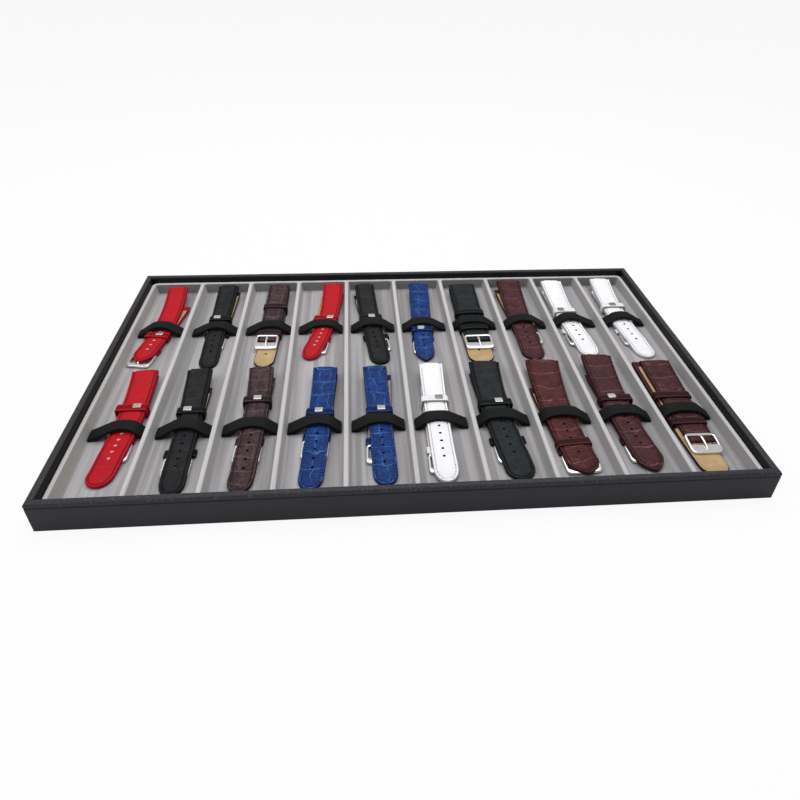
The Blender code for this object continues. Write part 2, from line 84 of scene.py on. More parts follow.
# Punched holes: half of the square that one takes up in the grid, its radius
# at the face and at the lining, and that of its neck in dark and pale holes
HOLE_HALF, HOLE_RADIUS, HOLE_BACK_RADIUS = 1.3, 1.0, 0.95
HOLE_NECK = {"dark": 0.82, "pale": 0.58}

# Section of a leather piece: a flange with rounded edges round a pad, whose
# share is counted above the flange's thickness, and the fold at the lug end
FLANGE, LEAST_PAD, PAD_START, PAD_CROWN, EDGE_SHARE = 1.2, 0.3, 1.9, 0.20, 0.42
EDGE_ROUND, LINING_ROUND, LUG_ROUND, BAR_ROUND = 0.55, 0.4, 1.6, 1.3
FOLD_PLACE, FOLD_WIDTH, FOLD_DEPTH = 3.4, 0.45, 0.16
STITCH_INSET, GROOVE_WIDTH = 1.75, 0.46

# Where the lining shows: it starts and stops short of the folded ends, and
# inside the turned edge, which is wide on some long pieces up to a share of
# their length
LINING_START, LINING_STOP = 7.0, 8.0
TURNED_EDGE, WIDE_TURNED_EDGE, WIDE_TURNED_SHARE = 0.55, 2.4, 0.62

# Loops and plates
KEEPER_LENGTH, KEEPER_WALL, KEEPER_CORNER = 6.5, 0.9, 1.7
KEEPER_CROWN, PADDED_KEEPER_CROWN = 0.25, 1.0
FIXED_LOOP_WALL, FIXED_LOOP_CORNER = 0.6, 1.1
FIXED_LOOP_ROOM, PADDED_LOOP_ROOM = 0.3, 1.3
PLATE_PLACE, PLATE_HALF, PLATE_SINK = 4.0, (2.6, 2.2, 0.36), 0.14

# Buckles and their tongues
BUCKLE_LENGTH, FRONT_BAR, REAR_BAR, SIDE_BAR, OVERHANG = 17.4, 4.5, 2.0, 1.6, 1.0
BUCKLE_TILT, WIDE_BAR, BUCKLE_LIFT, BUCKLE_HALF_HEIGHT = 1.4, 7.6, 0.15, 0.95
TONGUE_HALF_WIDTH, TONGUE_NARROWING, TONGUE_HALF_HEIGHT, TONGUE_ARC = 0.95, 0.35, 0.48, 0.55

# Seams: distance from one stitch to the next, the thread's sizes, and how far
# from the lug end the first stitch lies
Seam = namedtuple("Seam", "pitch length width height start")
SEAM = Seam(2.6, 1.9, 0.55, 0.22, 4.5)
LINING_SEAM = Seam(1.6, 0.9, 0.28, 0.10, 66.0)

# How full a strap is: the share of its thickness that is pad, the width of the
# pad's slope and the depth of the stitched groove
Padding = namedtuple("Padding", "share slope groove")
FLAT_PADDING, RAISED_PADDING = Padding(0.22, 2.6, 0.24), Padding(0.30, 1.1, 0.50)
RAISED_LEATHERS = ("black", "green")

# One strap set.  "widths" are those at the lug end and further on, and "ends"
# the places of the holed piece's lug end and tip.  "path" is the holed piece's
# sideways shift at its lug end, at the bridge and at its tip, "short_path" the
# short piece's at its lug end and at its buckle, both in hundredths of the
# floor's half width.  "short_lug" is the place of the short piece's lug end,
# and "extra" is what it has over its usual length.  "keepers" are the places
# of the loops' front edges, and "holes" those of the first and the last hole.
StrapSet = namedtuple(
    "StrapSet",
    "leather widths ends path short_lug extra short_path upper keepers plate pointed holes",
)
BACK_ROW = (
    StrapSet("red", (16, 15.5), (124.4, 15.9), (3, 4, -45), 100, 0, (42, -31),
             "holed", (47,), "silver", True, (55.8, 31.2)),
    StrapSet("black", (16.5, 14), (126.5, 7.7), (12, 11, 8), 121.5, 0, (22, 11),
             "holed", (69.5,), "silver", False, (54.8, 28.2)),
    StrapSet("brown", (17, 15), (125, 6.7), (25, 18, 2), 125.5, 8, (25, 6),
             "short", (86.4, 46.5), None, False, (52.8, 24.1)),
    StrapSet("red", (17.5, 14.5), (126.1, 16), (52, 18, -50), 112, 0, (52, -7),
             "holed", (66.5,), "silver", False, (53.9, 31.3)),
    StrapSet("black", (16.5, 15.5), (124.6, 7.8), (-31, -3, 32), 112.5, 0, (-38, 18),
             "holed", (66.5,), "silver", False, (54.9, 27.3)),
    StrapSet("blue", (17, 14.5), (124.1, 9.9), (7, -9, -15), 108, 0, (4, -14),
             "holed", (47.2,), "silver", True, (56, 28.3)),
    StrapSet("green", (22, 19.5), (118.5, 4.8), (-16, -15, -7), 120.5, 10, (-15, -4),
             "short", (70.6, 47.6), None, False, (48.9, 22.2)),
    StrapSet("burgundy", (20.5, 17.5), (126.7, 6.9), (-4, -14, -7), 117.5, 0, (-24, -3),
             "holed", (), None, True, (58.1, 29)),
    StrapSet("white", (18, 15.5), (124.7, 10), (-21, -20, 13), 114.5, 0, (-29, -17),
             "holed", (70.3,), "bronze", False, (57.7, 30.3)),
    StrapSet("white", (17.5, 15.5), (126.8, 6), (4, -10, 27), 112.5, 0, (-10, -1),
             "holed", (76.4,), "bronze", False, (58.4, 29)),
)
FRONT_ROW = (
    StrapSet("red", (17.5, 16), (-3.2, -114.2), (22, 28, -6), -4.5, 0, (23, 19),
             "holed", (-48.2,), "gold", False, (-69.9, -91.9)),
    StrapSet("black", (17, 15), (-3.1, -123.4), (1, 13, 13), -20, 0, (12, 10),
             "holed", (-53,), "silver", False, (-74.2, -101.9)),
    StrapSet("brown", (17, 15), (-2.7, -123.3), (10, 15, -6), -10.5, 0, (18, 6),
             "holed", (-43.7,), "silver", False, (-75.5, -104.3)),
    StrapSet("blue", (17, 15), (-5.2, -123.3), (34, 18, -8), -8.5, 0, (35, 8),
             "holed", (-58.4,), "gold", False, (-76.2, -105.5)),
    StrapSet("blue", (17, 15), (-5.5, -122.2), (-2, 8, 17), -11.5, 3.5, (15, 1),
             "holed", (-58.3,), "gold", False, (-74.8, -104)),
    StrapSet("white", (17, 15), (-4.2, -122.2), (-6, -13, -12), -26, 0, (-10, -20),
             "holed", (-49.1,), "bronze", False, (-73, -101.7)),
    StrapSet("green", (22, 18.5), (-3.2, -122.2), (-17, -17, 19), -12.5, 6.5, (-24, -3),
             "holed", (-54.5,), "silver", False, (-71, -100.6)),
    StrapSet("chestnut", (24, 20), (-3.5, -121.1), (-5, -19, 8), -31, 0, (-23, -5),
             "holed", (-96.8,), None, True, (-75.7, -102.7)),
    StrapSet("burgundy", (22, 18), (1.3, -120), (1, -12, 15), -17.5, 6, (-10, 0),
             "holed", (-53.7,), "silver", True, (-69.9, -96.5)),
    StrapSet("burgundy", (22, 18.5), (-6.3, -126.1), (-26, -24, -8), -8.5, 11, (1, -3),
             "short", (-52.9, -80.6), None, False, (-78, -105.7)),
)

# How far a plate lies to the right of its strap's middle line
PLATE_SHIFT = {
    "back_01": 1.6, "back_02": -1.9, "back_04": 2.5, "back_05": 1.2, "back_06": -1.2, "back_09": -3.2,
    "front_01": 2.6, "front_02": -1.9, "front_04": -1.0, "front_05": 1.4, "front_06": 2.5,
    "front_07": 3.0, "front_09": -1.7,
}

# How much a bridge's middle rises over its strap, where it isn't BRIDGE_CROWN
CROWNED = {
    "back_01": 2.1, "back_06": 0.4, "back_08": 1.4, "back_09": 2.0, "back_10": 1.9,
    "front_01": 1.7, "front_03": 0.5, "front_05": 0.5, "front_06": 0.5,
}
THREAD = {
    "red": (0.090, 0.003, 0.008), "black": (0.002, 0.002, 0.002), "brown": (0.022, 0.007, 0.009),
    "blue": (0.030, 0.110, 0.360), "green": (0.002, 0.002, 0.002), "burgundy": (0.030, 0.002, 0.004),
    "chestnut": (0.034, 0.002, 0.004), "white": (0.15, 0.15, 0.19),
}


# Meshes

def clamp(value, low=0.0, high=1.0):
    """Keep numbers within two limits."""
    return np.minimum(np.maximum(value, low), high)


def ease(value):
    """Smooth step from 0 to 1: 3 t squared less 2 t cubed."""
    t = clamp(value)
    return t * t * (3.0 - 2.0 * t)


def quarter_round(distance, radius):
    """Rise of a rounded edge from 0 to 1: a quarter circle over one radius."""
    return np.sqrt(1.0 - (1.0 - clamp(distance / radius)) ** 2)


def soft_power(value, exponent):
    """A number's size raised to a power, with its own sign: a low power makes
    a circle's sine and cosine run round a square with soft corners."""
    return np.sign(value) * np.abs(value) ** exponent


def lattice(rows, columns, start=0, closed=False):
    """Four-sided faces between the rows of a grid of points, counted row by
    row; a closed grid joins its last column to its first."""
    index = start + np.arange(rows * columns).reshape(rows, columns)
    if closed:
        index = np.concatenate([index, index[:, :1]], axis=1)
    corners = [index[:-1, :-1], index[1:, :-1], index[1:, 1:], index[:-1, 1:]]
    return np.stack(corners, axis=-1).reshape(-1, 4)


def make_piece(name, points, faces, materials, replaces=(), bands=None, place=None, angle=45.0):
    """Weld points in millimetres into one piece with smooth faces that ride
    with the tray; "place" keeps each point's place on the strap."""
    used, index = np.unique(faces, return_inverse=True)
    faces = index.reshape(faces.shape)
    mesh = bpy.data.meshes.new(name)
    mesh.from_pydata((points[used] * MM).tolist(), [], faces.tolist())
    if bands is not None:
        mesh.polygons.foreach_set("material_index", np.asarray(bands, dtype=np.int32))
    if place is not None:
        layer = mesh.attributes.new("place", "FLOAT_VECTOR", "POINT")
        layer.data.foreach_set("vector", place[used].astype(np.float32).ravel())
    shape = bmesh.new()
    shape.from_mesh(mesh)
    bmesh.ops.remove_doubles(shape, verts=shape.verts, dist=2.0e-7)
    bmesh.ops.recalc_face_normals(shape, faces=shape.faces)
    if shape.calc_volume(signed=True) < 0.0:
        bmesh.ops.reverse_faces(shape, faces=shape.faces)
    shape.to_mesh(mesh)
    shape.free()
    for material in materials:
        mesh.materials.append(material)
    mesh.shade_smooth()
    mesh.set_sharp_from_angle(angle=math.radians(angle))
    piece = bpy.data.objects.new(name, mesh)
    bpy.context.scene.collection.objects.link(piece)
    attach(piece, "root")
    if replaces:
        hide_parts(*replaces)
    return piece


# Materials

class Signal:
    """A socket in a material, so that shader maths reads as an expression."""

    def __init__(self, finish, socket):
        self.finish = finish
        self.socket = socket

    def maths(self, operation, *values):
        return self.finish.add("ShaderNodeMath", {"operation": operation}, dict(enumerate(values)))

    def __add__(self, other):
        return self.maths("ADD", self, other)

    __radd__ = __add__

    def __sub__(self, other):
        return self.maths("SUBTRACT", self, other)

    def __rsub__(self, other):
        return self.maths("SUBTRACT", other, self)

    def __mul__(self, other):
        return self.maths("MULTIPLY", self, other)

    __rmul__ = __mul__

    def __truediv__(self, other):
        return self.maths("DIVIDE", self, other)

    def size(self):
        return self.maths("ABSOLUTE", self)

    def fraction(self):
        return self.maths("FRACT", self)

    def whole(self):
        return self.maths("FLOOR", self)

    def most(self, other):
        return self.maths("MAXIMUM", self, other)

    def least(self, other):
        return self.maths("MINIMUM", self, other)


class Finish:
    """One procedural material round a Principled shader."""

    def __init__(self, name, **constants):
        self.material = bpy.data.materials.new(name)
        self.material.use_nodes = True
        self.tree = self.material.node_tree
        self.shader = self.tree.nodes["Principled BSDF"]
        self.output = self.tree.nodes["Material Output"]
        for socket, value in constants.items():
            self.shader.inputs[socket.replace("_", " ")].default_value = value

    def add(self, kind, settings=None, values=None, output=0):
        """Add any node: its settings, then the values or links of its sockets."""
        node = self.tree.nodes.new(kind)
        for key, value in (settings or {}).items():
            setattr(node, key, value)
        for key, value in (values or {}).items():
            if isinstance(value, Signal):
                self.tree.links.new(value.socket, node.inputs[key])
            else:
                node.inputs[key].default_value = value
        return Signal(self, node.outputs[output])

    def feed(self, socket, signal):
        self.tree.links.new(signal.socket, self.shader.inputs[socket])

    def where(self, stretch=(1.0, 1.0, 1.0)):
        """Object coordinates in millimetres, divided by a stretch each way."""
        spot = self.add("ShaderNodeTexCoord", output="Object")
        scale = tuple(1.0 / (MM * value) for value in stretch)
        return self.add("ShaderNodeMapping", {}, {"Vector": spot, "Scale": scale})

    def noise(self, spot, scale, detail=2.0, roughness=0.5):
        values = {"Vector": spot, "Scale": scale, "Detail": detail, "Roughness": roughness}
        return self.add("ShaderNodeTexNoise", {}, values, "Fac")

    def cells(self, spot, scale):
        """Distance to the nearest of many scattered points."""
        values = {"Vector": spot, "Scale": scale}
        return self.add("ShaderNodeTexVoronoi", {"feature": "F1"}, values, "Distance")

    def step(self, value, low, high):
        """Smooth mask: 0 up to low, 1 from high on."""
        values = {"Value": value, "From Min": low, "From Max": high}
        return self.add("ShaderNodeMapRange", {"interpolation_type": "SMOOTHSTEP"}, values)

    def mix(self, factor, first, second):
        """Mix two colours, given as values or links."""
        pair = [(*c, 1.0) if isinstance(c, tuple) else c for c in (first, second)]
        values = {0: factor, 6: pair[0], 7: pair[1]}
        return self.add("ShaderNodeMix", {"data_type": "RGBA"}, values, 2)

    def axes(self, spot):
        node = self.tree.nodes.new("ShaderNodeSeparateXYZ")
        self.tree.links.new(spot.socket, node.inputs[0])
        return [Signal(self, output) for output in node.outputs]

    def relief(self, height, depth, strength=1.0):
        """Bump the surface by a height, at a depth in millimetres."""
        values = {"Height": height, "Distance": depth * MM, "Strength": strength}
        self.feed("Normal", self.add("ShaderNodeBump", {}, values))


def leatherette_finish():
    """Black grained leatherette: pebbles of about 0.8 mm, painted highlight specks
    on the roll, and painted shade on the inner faces and in the crease."""
    finish = Finish("black_leatherette", Specular_IOR_Level=0.22)
    spot = finish.where()
    pebbles = finish.cells(spot, 1.25)
    fine = finish.noise(spot, 2.6, 3.0)
    broad = finish.noise(spot, 0.035, 2.0)
    # Painted highlight: glinting specks that lighten the top of the roll
    glint_specks = finish.step(finish.noise(spot, 0.9, 2.0), 0.56, 0.72)
    x, y, height = finish.axes(spot)
    lip = finish.step(height, TRAY_HEIGHT - 2.6, TRAY_HEIGHT - 0.8) * glint_specks
    # painted shade on the inner faces and in the crease below the roll
    depth = (TRAY_WIDTH / 2 - x.size()).least(TRAY_DEPTH / 2 - y.size())
    inner = finish.step(depth, RAIL_WIDTH - 0.9, RAIL_WIDTH - 0.3)
    fold = 1.0 - finish.step((height - (TRAY_HEIGHT - CREASE_DROP)).size(), 0.20, 0.75)
    shade = finish.mix(broad, (0.0215, 0.0210, 0.0270), (0.0300, 0.0290, 0.0360))
    # painted highlight: the top of the roll is lightened in specks
    shade = finish.mix(lip * 0.55, shade, (0.115, 0.113, 0.122))
    # painted shade: the inner faces and the crease are darkened
    dark = inner.most(fold * 0.85) * 0.9
    finish.feed("Base Color", finish.mix(dark, shade, (0.003, 0.003, 0.004)))
    finish.feed("Roughness", 0.42 + broad * 0.14 + fine * 0.08)
    finish.relief((1.0 - pebbles) * 0.7 + fine * 0.35, 0.10, 0.8)
    return finish.material


def flock_finish():
    """Grey flock: fine nap, lengthwise streaks, pale ridge tops as a painted highlight,
    warm walls at the left of each channel and cool ones at the right, and painted
    shade: the right walls darker than the left, the back and front walls darkest,
    the right part of each floor darker."""
    finish = Finish("grey_flock", Specular_IOR_Level=0.10, Sheen_Weight=0.20, Sheen_Roughness=0.6)
    spot = finish.where()
    streak = finish.noise(finish.where((4.2, 190.0, 4.2)), 1.0, 2.0)
    narrow = finish.noise(finish.where((1.5, 80.0, 1.5)), 1.0, 2.0)
    nap = finish.noise(spot, 3.2, 3.0, 0.6)
    height = finish.axes(spot)[2]
    normal = finish.axes(finish.add("ShaderNodeNewGeometry", output="Normal"))
    upright = 1.0 - finish.step(normal[2].size(), 0.15, 0.85)
    # painted highlight: the ridge tops are lightened
    top = finish.step(height, LINER_TOP - 1.0, LINER_TOP - 0.2)
    # painted shade: walls darkened by the way they face, the back and front walls darkest
    across = finish.step(normal[1].size(), 0.5, 0.9)
    facing = finish.step(normal[0], -0.3, 0.3)
    floor = finish.mix(finish.step(streak, 0.34, 0.66), (0.225, 0.221, 0.224), (0.405, 0.388, 0.404))
    # painted shade: the right part of each channel's floor is darker
    share = (finish.axes(spot)[0] / PITCH).fraction()
    floor = finish.mix(finish.step(share, 0.50, 0.85) * 0.30, floor, (0.190, 0.180, 0.184))
    # warm left walls lighter and cool right walls darker, partly tint and partly painted shade
    side = finish.mix(facing, (0.265, 0.255, 0.260), (0.345, 0.343, 0.318))
    wall = finish.mix(across, side, (0.135, 0.130, 0.126))
    colour = finish.mix(upright, floor, wall)
    colour = finish.mix(top * 0.9, colour, (0.54, 0.52, 0.53))
    colour = finish.mix(finish.step(narrow, 0.35, 0.75) * 0.22, colour, (0.18, 0.176, 0.18))
    finish.feed("Base Color", finish.mix(nap * 0.20, colour, (0.60, 0.58, 0.60)))
    finish.feed("Roughness", 0.85 + nap * 0.12)
    finish.relief(nap, 0.16, 0.5)
    return finish.material


def foam_finish():
    """Matt black foam sheet with a fine open skin."""
    finish = Finish("black_foam", Specular_IOR_Level=0.12)
    spot = finish.where()
    pores = finish.cells(spot, 2.4)
    broad = finish.noise(spot, 0.09, 2.0)
    colour = finish.mix(broad, (0.0052, 0.0055, 0.0060), (0.0098, 0.0102, 0.0108))
    finish.feed("Base Color", colour)
    finish.feed("Roughness", 0.62 + pores * 0.25)
    finish.relief(pores + finish.noise(spot, 1.1) * 0.5, 0.07, 0.6)
    return finish.material


def board_finish():
    """Black paper over hardboard."""
    finish = Finish("base_paper", Specular_IOR_Level=0.2)
    spot = finish.where((1.0, 1.6, 1.0))
    fibre = finish.noise(spot, 1.2, 4.0, 0.65)
    finish.feed("Base Color", finish.mix(fibre, (0.020, 0.020, 0.022), (0.045, 0.045, 0.048)))
    finish.feed("Roughness", 0.75 + fibre * 0.2)
    finish.relief(fibre, 0.05, 0.5)
    return finish.material


# A strap's leather: its face, its darker clouds and its pressed lines (on the
# black and green hides lighter, as a painted highlight), the distance between
# rows and between columns of scales (0 for none), how strong the lines are,
# its roughness and its painted edge
Hide = namedtuple("Hide", "colour dark crease row column contrast gloss edge")
HIDES = {
    "red": Hide(
        (0.460, 0.003, 0.012), (0.375, 0.002, 0.008), (0.520, 0.045, 0.055),
        9.5, 0.0, 0.25, 0.48, (0.330, 0.008, 0.015),
    ),
    "black": Hide(
        (0.0150, 0.0155, 0.0178), (0.0030, 0.0032, 0.0040), (0.045, 0.047, 0.052),
        17.0, 0.0, 0.40, 0.46, (0.003, 0.003, 0.004),
    ),
    "brown": Hide(
        (0.062, 0.035, 0.042), (0.016, 0.007, 0.010), (0.190, 0.100, 0.090),
        11.0, 8.0, 0.70, 0.44, (0.016, 0.006, 0.009),
    ),
    "blue": Hide(
        (0.004, 0.034, 0.185), (0.001, 0.012, 0.080), (0.045, 0.170, 0.450),
        14.0, 7.5, 0.90, 0.46, (0.004, 0.013, 0.070),
    ),
    "green": Hide(
        (0.0140, 0.0200, 0.0225), (0.0030, 0.0048, 0.0058), (0.040, 0.050, 0.054),
        19.0, 0.0, 0.40, 0.44, (0.003, 0.004, 0.004),
    ),
    "burgundy": Hide(
        (0.068, 0.016, 0.021), (0.026, 0.005, 0.007), (0.200, 0.085, 0.090),
        14.5, 0.0, 0.90, 0.38, (0.030, 0.004, 0.007),
    ),
    "chestnut": Hide(
        (0.078, 0.012, 0.014), (0.034, 0.004, 0.006), (0.250, 0.090, 0.078),
        15.0, 0.0, 0.90, 0.38, (0.036, 0.005, 0.007),
    ),
    "white": Hide(
        (0.86, 0.86, 0.88), (0.80, 0.80, 0.83), (0.70, 0.70, 0.75),
        26.0, 0.0, 0.10, 0.45, (0.52, 0.51, 0.54),
    ),
}


def leather_finish(kind, name=None, edge=None, edge_width=0.42):
    """Strap leather.  Embossed rows cross the strap as shallow arcs, each row
    bent by its own wander; on some hides lengthwise lines split the rows into
    scales.  Painted shade darkens the stitched groove, and the cut edge is painted."""
    hide = HIDES[kind]
    finish = Finish(name or f"leather_{kind}", Specular_IOR_Level=0.14)
    place = finish.add("ShaderNodeAttribute", {"attribute_name": "place"}, output="Vector")
    across, along, rim = finish.axes(place)
    spot = finish.where()
    wander = finish.noise(spot, 0.09, 3.0) - 0.5
    sway = finish.noise(spot, 0.35, 2.0) - 0.5
    grain = finish.noise(spot, 2.2, 3.0, 0.6)
    pores = finish.cells(spot, 2.0)
    cloud = finish.noise(spot, 0.16, 3.0)
    mottle = finish.noise(spot, 0.75, 2.0)
    strength = finish.step(finish.noise(spot, 0.13, 1.0), 0.30, 0.55)
    bend = across * across * 0.030 + wander * 9.0 + sway * 1.4
    row = (along + bend) / hide.row
    gap_to_row = (row.fraction() - 0.5).size() * hide.row
    line = (1.0 - finish.step(gap_to_row, 0.06, 0.50)) * (0.35 + strength * 0.65)
    fine = (row * 4.0 + wander * 4.0).fraction()
    wrinkle = (1.0 - finish.step((fine - 0.5).size(), 0.02, 0.22)) * strength
    if hide.column:
        shift = finish.add("ShaderNodeTexWhiteNoise", {"noise_dimensions": "1D"}, {"W": (row + 0.5).whole()})
        column = (across + shift * hide.column + wander * 9.0 + sway * 2.0) / hide.column
        gap_to_column = (column.fraction() - 0.5).size() * hide.column
        split = 1.0 - finish.step(gap_to_column, 0.04, 0.40)
        line = line.most(split * (0.15 + strength * 0.6))
    shade = finish.step(cloud, 0.34, 0.66) * 0.55 + finish.step(mottle, 0.36, 0.64) * 0.45
    colour = finish.mix(shade, hide.dark, hide.colour)
    # lines and wrinkles take the crease colour: a painted highlight on the black and green hides
    colour = finish.mix(wrinkle * (0.20 * hide.contrast), colour, hide.crease)
    colour = finish.mix(line * hide.contrast, colour, hide.crease)
    # painted shade: the stitched groove is darkened along the stitch line
    seam = 1.0 - finish.step((rim - STITCH_INSET).size(), 0.25, 0.80)
    groove = tuple(0.3 * value for value in hide.dark)
    colour = finish.mix(seam * (0.16 if kind == "white" else 0.75), colour, groove)
    colour = finish.mix(1.0 - finish.step(rim, edge_width * 0.7, edge_width), colour, edge or hide.edge)
    finish.feed("Base Color", colour)
    finish.feed("Roughness", hide.gloss + cloud * 0.10 + grain * 0.08 + line * 0.08 + seam * 0.25)
    relief = grain * 0.25 + pores * 0.30 - line * 0.9 - wrinkle * (0.4 * hide.contrast)
    finish.relief(relief, 0.16, 0.75)
    return finish.material


def lining_finish():
    """Tan calf lining with fine pores and a few faint marks."""
    finish = Finish("tan_lining", Specular_IOR_Level=0.3)
    spot = finish.where()
    cloud = finish.noise(spot, 0.13, 3.0)
    pores = finish.cells(spot, 2.8)
    grain = finish.noise(spot, 2.4, 3.0)
    colour = finish.mix(finish.step(cloud, 0.25, 0.75), (0.390, 0.262, 0.125), (0.500, 0.350, 0.178))
    finish.feed("Base Color", finish.mix(grain * 0.2, colour, (0.34, 0.215, 0.10)))
    finish.feed("Roughness", 0.52 + cloud * 0.15)
    finish.relief(grain + pores * 0.5, 0.06, 0.6)
    return finish.material


def metal_finish(name, colour, roughness):
    """Polished metal with faint rubbing marks."""
    finish = Finish(name, Metallic=1.0)
    marks = finish.noise(finish.where((0.35, 3.0, 0.35)), 1.0, 2.0)
    cloud = finish.noise(finish.where(), 0.35, 2.0)
    dull = tuple(0.86 * value for value in colour)
    finish.feed("Base Color", finish.mix(cloud, dull, colour))
    finish.feed("Roughness", roughness + marks * 0.10)
    finish.relief(marks, 0.012, 0.4)
    return finish.material


def thread_finish(kind):
    """Waxed thread, twisted along its length."""
    finish = Finish(f"thread_{kind}", Specular_IOR_Level=0.35)
    colour = THREAD[kind]
    twist = finish.noise(finish.where((0.18, 0.18, 0.18)), 1.0, 1.0)
    dark = tuple(0.6 * value for value in colour)
    finish.feed("Base Color", finish.mix(twist, dark, colour))
    finish.feed("Roughness", 0.55 + twist * 0.2)
    finish.relief(twist, 0.03, 0.5)
    return finish.material


def hole_finish(name, colour):
    """The raw edge inside a punched hole."""
    finish = Finish(name, Specular_IOR_Level=0.1)
    fibre = finish.noise(finish.where(), 4.0, 2.0)
    dark = tuple(0.6 * value for value in colour)
    finish.feed("Base Color", finish.mix(fibre, dark, colour))
    finish.feed("Roughness", 0.8 + fibre * 0.2)
    return finish.material


LEATHERETTE = leatherette_finish()
FLOCK = flock_finish()
FOAM = foam_finish()
LINING = lining_finish()
LEATHERS = {kind: leather_finish(kind) for kind in HIDES}
KEEPERS = dict(LEATHERS)
KEEPERS["white"] = leather_finish("white", "leather_white_loop", (0.30, 0.25, 0.21), 0.60)
THREADS = {kind: thread_finish(kind) for kind in THREAD}
HOLES = {
    "dark": hole_finish("hole_dark", (0.012, 0.010, 0.010)),
    "pale": hole_finish("hole_pale", (0.80, 0.55, 0.50)),
}
METALS = {
    "steel": metal_finish("polished_steel", (0.93, 0.92, 0.90), 0.14),
    "silver": metal_finish("silver_plate", (0.88, 0.87, 0.85), 0.16),
    "gold": metal_finish("pale_gold_plate", (0.80, 0.74, 0.61), 0.18),
    "bronze": metal_finish("grey_bronze_plate", (0.42, 0.36, 0.32), 0.25),
}


# The tray

def rail_outline():
    """Rail section as (distance in from the outer face, height): a flat outer
    face, a soft V crease, then a padded roll with two quarter rounds and a
    slightly crowned top."""
    crease = TRAY_HEIGHT - CREASE_DROP
    drop = np.linspace(-1.0, 1.0, 9)
    notch = np.stack([CREASE_DEPTH * np.cos(drop * math.pi / 2) ** 2, crease + CREASE_HALF * drop], axis=1)
    turn = np.linspace(0.0, math.pi / 2, 8)
    lip = RAIL_ROLL
    shoulder = TRAY_HEIGHT - RAIL_CROWN
    outer = np.stack([lip * (1 - np.cos(turn)), shoulder - lip * (1 - np.sin(turn))], axis=1)
    span = np.linspace(lip, RAIL_WIDTH - lip, 7)[1:-1]
    swell = 1.0 - ((span - RAIL_WIDTH / 2) / (RAIL_WIDTH / 2 - lip)) ** 2
    top = np.stack([span, shoulder + RAIL_CROWN * swell], axis=1)
    inner = outer[::-1] * (-1.0, 1.0) + (RAIL_WIDTH, 0.0)
    foot = np.array([[RAIL_FOOT, 0.0], [0.1, 0.1], [0.0, RAIL_FOOT], [0.0, 6.0], [0.0, 12.0]])
    back = np.array([[RAIL_WIDTH, 9.0], [RAIL_WIDTH, 0.0]])
    return np.concatenate([foot, notch, outer, top, inner, back])


def rail(name, side, lengthwise):
    """One rail: the section carried from mitre to mitre, so that each point's
    reach along the rail shortens by its distance in from the outer face.  The
    padded top sinks by the sum of two sine waves along the rail, 20 and 8 mm
    long and a few hundredths of a millimetre deep."""
    outline = rail_outline()
    inset, height = outline[:, 0], outline[:, 1]
    half_length = (TRAY_WIDTH if lengthwise else TRAY_DEPTH) / 2
    half_across = (TRAY_DEPTH if lengthwise else TRAY_WIDTH) / 2
    steps = np.linspace(-1.0, 1.0, 81)
    reach = half_length - inset - GAP / math.sqrt(2.0)
    along = steps[:, None] * reach[None, :]
    ripple = 0.035 * np.sin(along * 0.31 + side) + 0.03 * np.sin(along * 0.83 + 2.0 * side)
    soft = ease((height - TRAY_HEIGHT + 4.0) / 2.0) * (1.0 - steps[:, None] ** 8)
    lift = height[None, :] - soft * (0.04 + ripple * 0.5).clip(0.0, 0.2)
    out = side * (half_across - inset[None, :] - soft * 0.03)
    pair = (along, out) if lengthwise else (out, along)
    body = np.stack([*pair, lift], axis=-1)
    ends = np.repeat(body[[0, -1]].mean(axis=1, keepdims=True), len(outline), axis=1)
    grid = np.concatenate([ends[:1], body, ends[1:]])
    faces = lattice(len(grid), len(outline), closed=True)
    make_piece(f"leatherette_{name}", grid.reshape(-1, 3), faces, [LEATHERETTE], (name,))


def channel_middle(column):
    """Sideways place of a channel, counted from one at the left."""
    return (column - (CHANNELS + 1) / 2) * PITCH


def outline_ring(left, right, half_y, round_left, round_right, z):
    """Closed outline of a rectangle with its own corner radius at each side:
    right side, back, left side and front, each followed by its corner."""
    turn = np.linspace(0.0, math.pi / 2, CORNER_POINTS)
    sides = np.linspace(-1.0, 1.0, SIDE_POINTS + 2)[1:-1]
    ends = np.linspace(-1.0, 1.0, END_POINTS + 2)[1:-1]
    parts = []
    for start, radius in ((0, round_right), (1, round_left), (2, round_left), (3, round_right)):
        angle = turn + start * math.pi / 2
        centre_x = right - radius if start in (0, 3) else left + radius
        centre_y = (half_y - radius) * (1 if start < 2 else -1)
        parts.append(np.stack([centre_x + radius * np.cos(angle), centre_y + radius * np.sin(angle)], axis=1))
    rise = np.stack([np.full(SIDE_POINTS, right), sides * (half_y - round_right)], axis=1)
    fall = np.stack([np.full(SIDE_POINTS, left), -sides * (half_y - round_left)], axis=1)
    reach = np.array([left + round_left, right - round_right])
    run = np.stack([reach.mean() - ends * np.ptp(reach) / 2, np.full(END_POINTS, half_y)], axis=1)
    ring = np.concatenate([rise, parts[0], run, parts[1], fall, parts[2], run[::-1] * (1, -1), parts[3]])
    return np.concatenate([ring, np.full((len(ring), 1), z)], axis=1)


def liner_limits(column, grow):
    """Outer limits of one channel's share of the liner's top."""
    middle = channel_middle(column)
    half_x, half_y = LINER_HALF_X - LINER_EDGE + grow, LINER_HALF_Y - LINER_EDGE + grow
    corner = LINER_CORNER - LINER_EDGE + grow
    first, last = column == 1, column == CHANNELS
    left = -half_x if first else middle - PITCH / 2
    right = half_x if last else middle + PITCH / 2
    return left, right, half_y, corner if first else 0.0, corner if last else 0.0


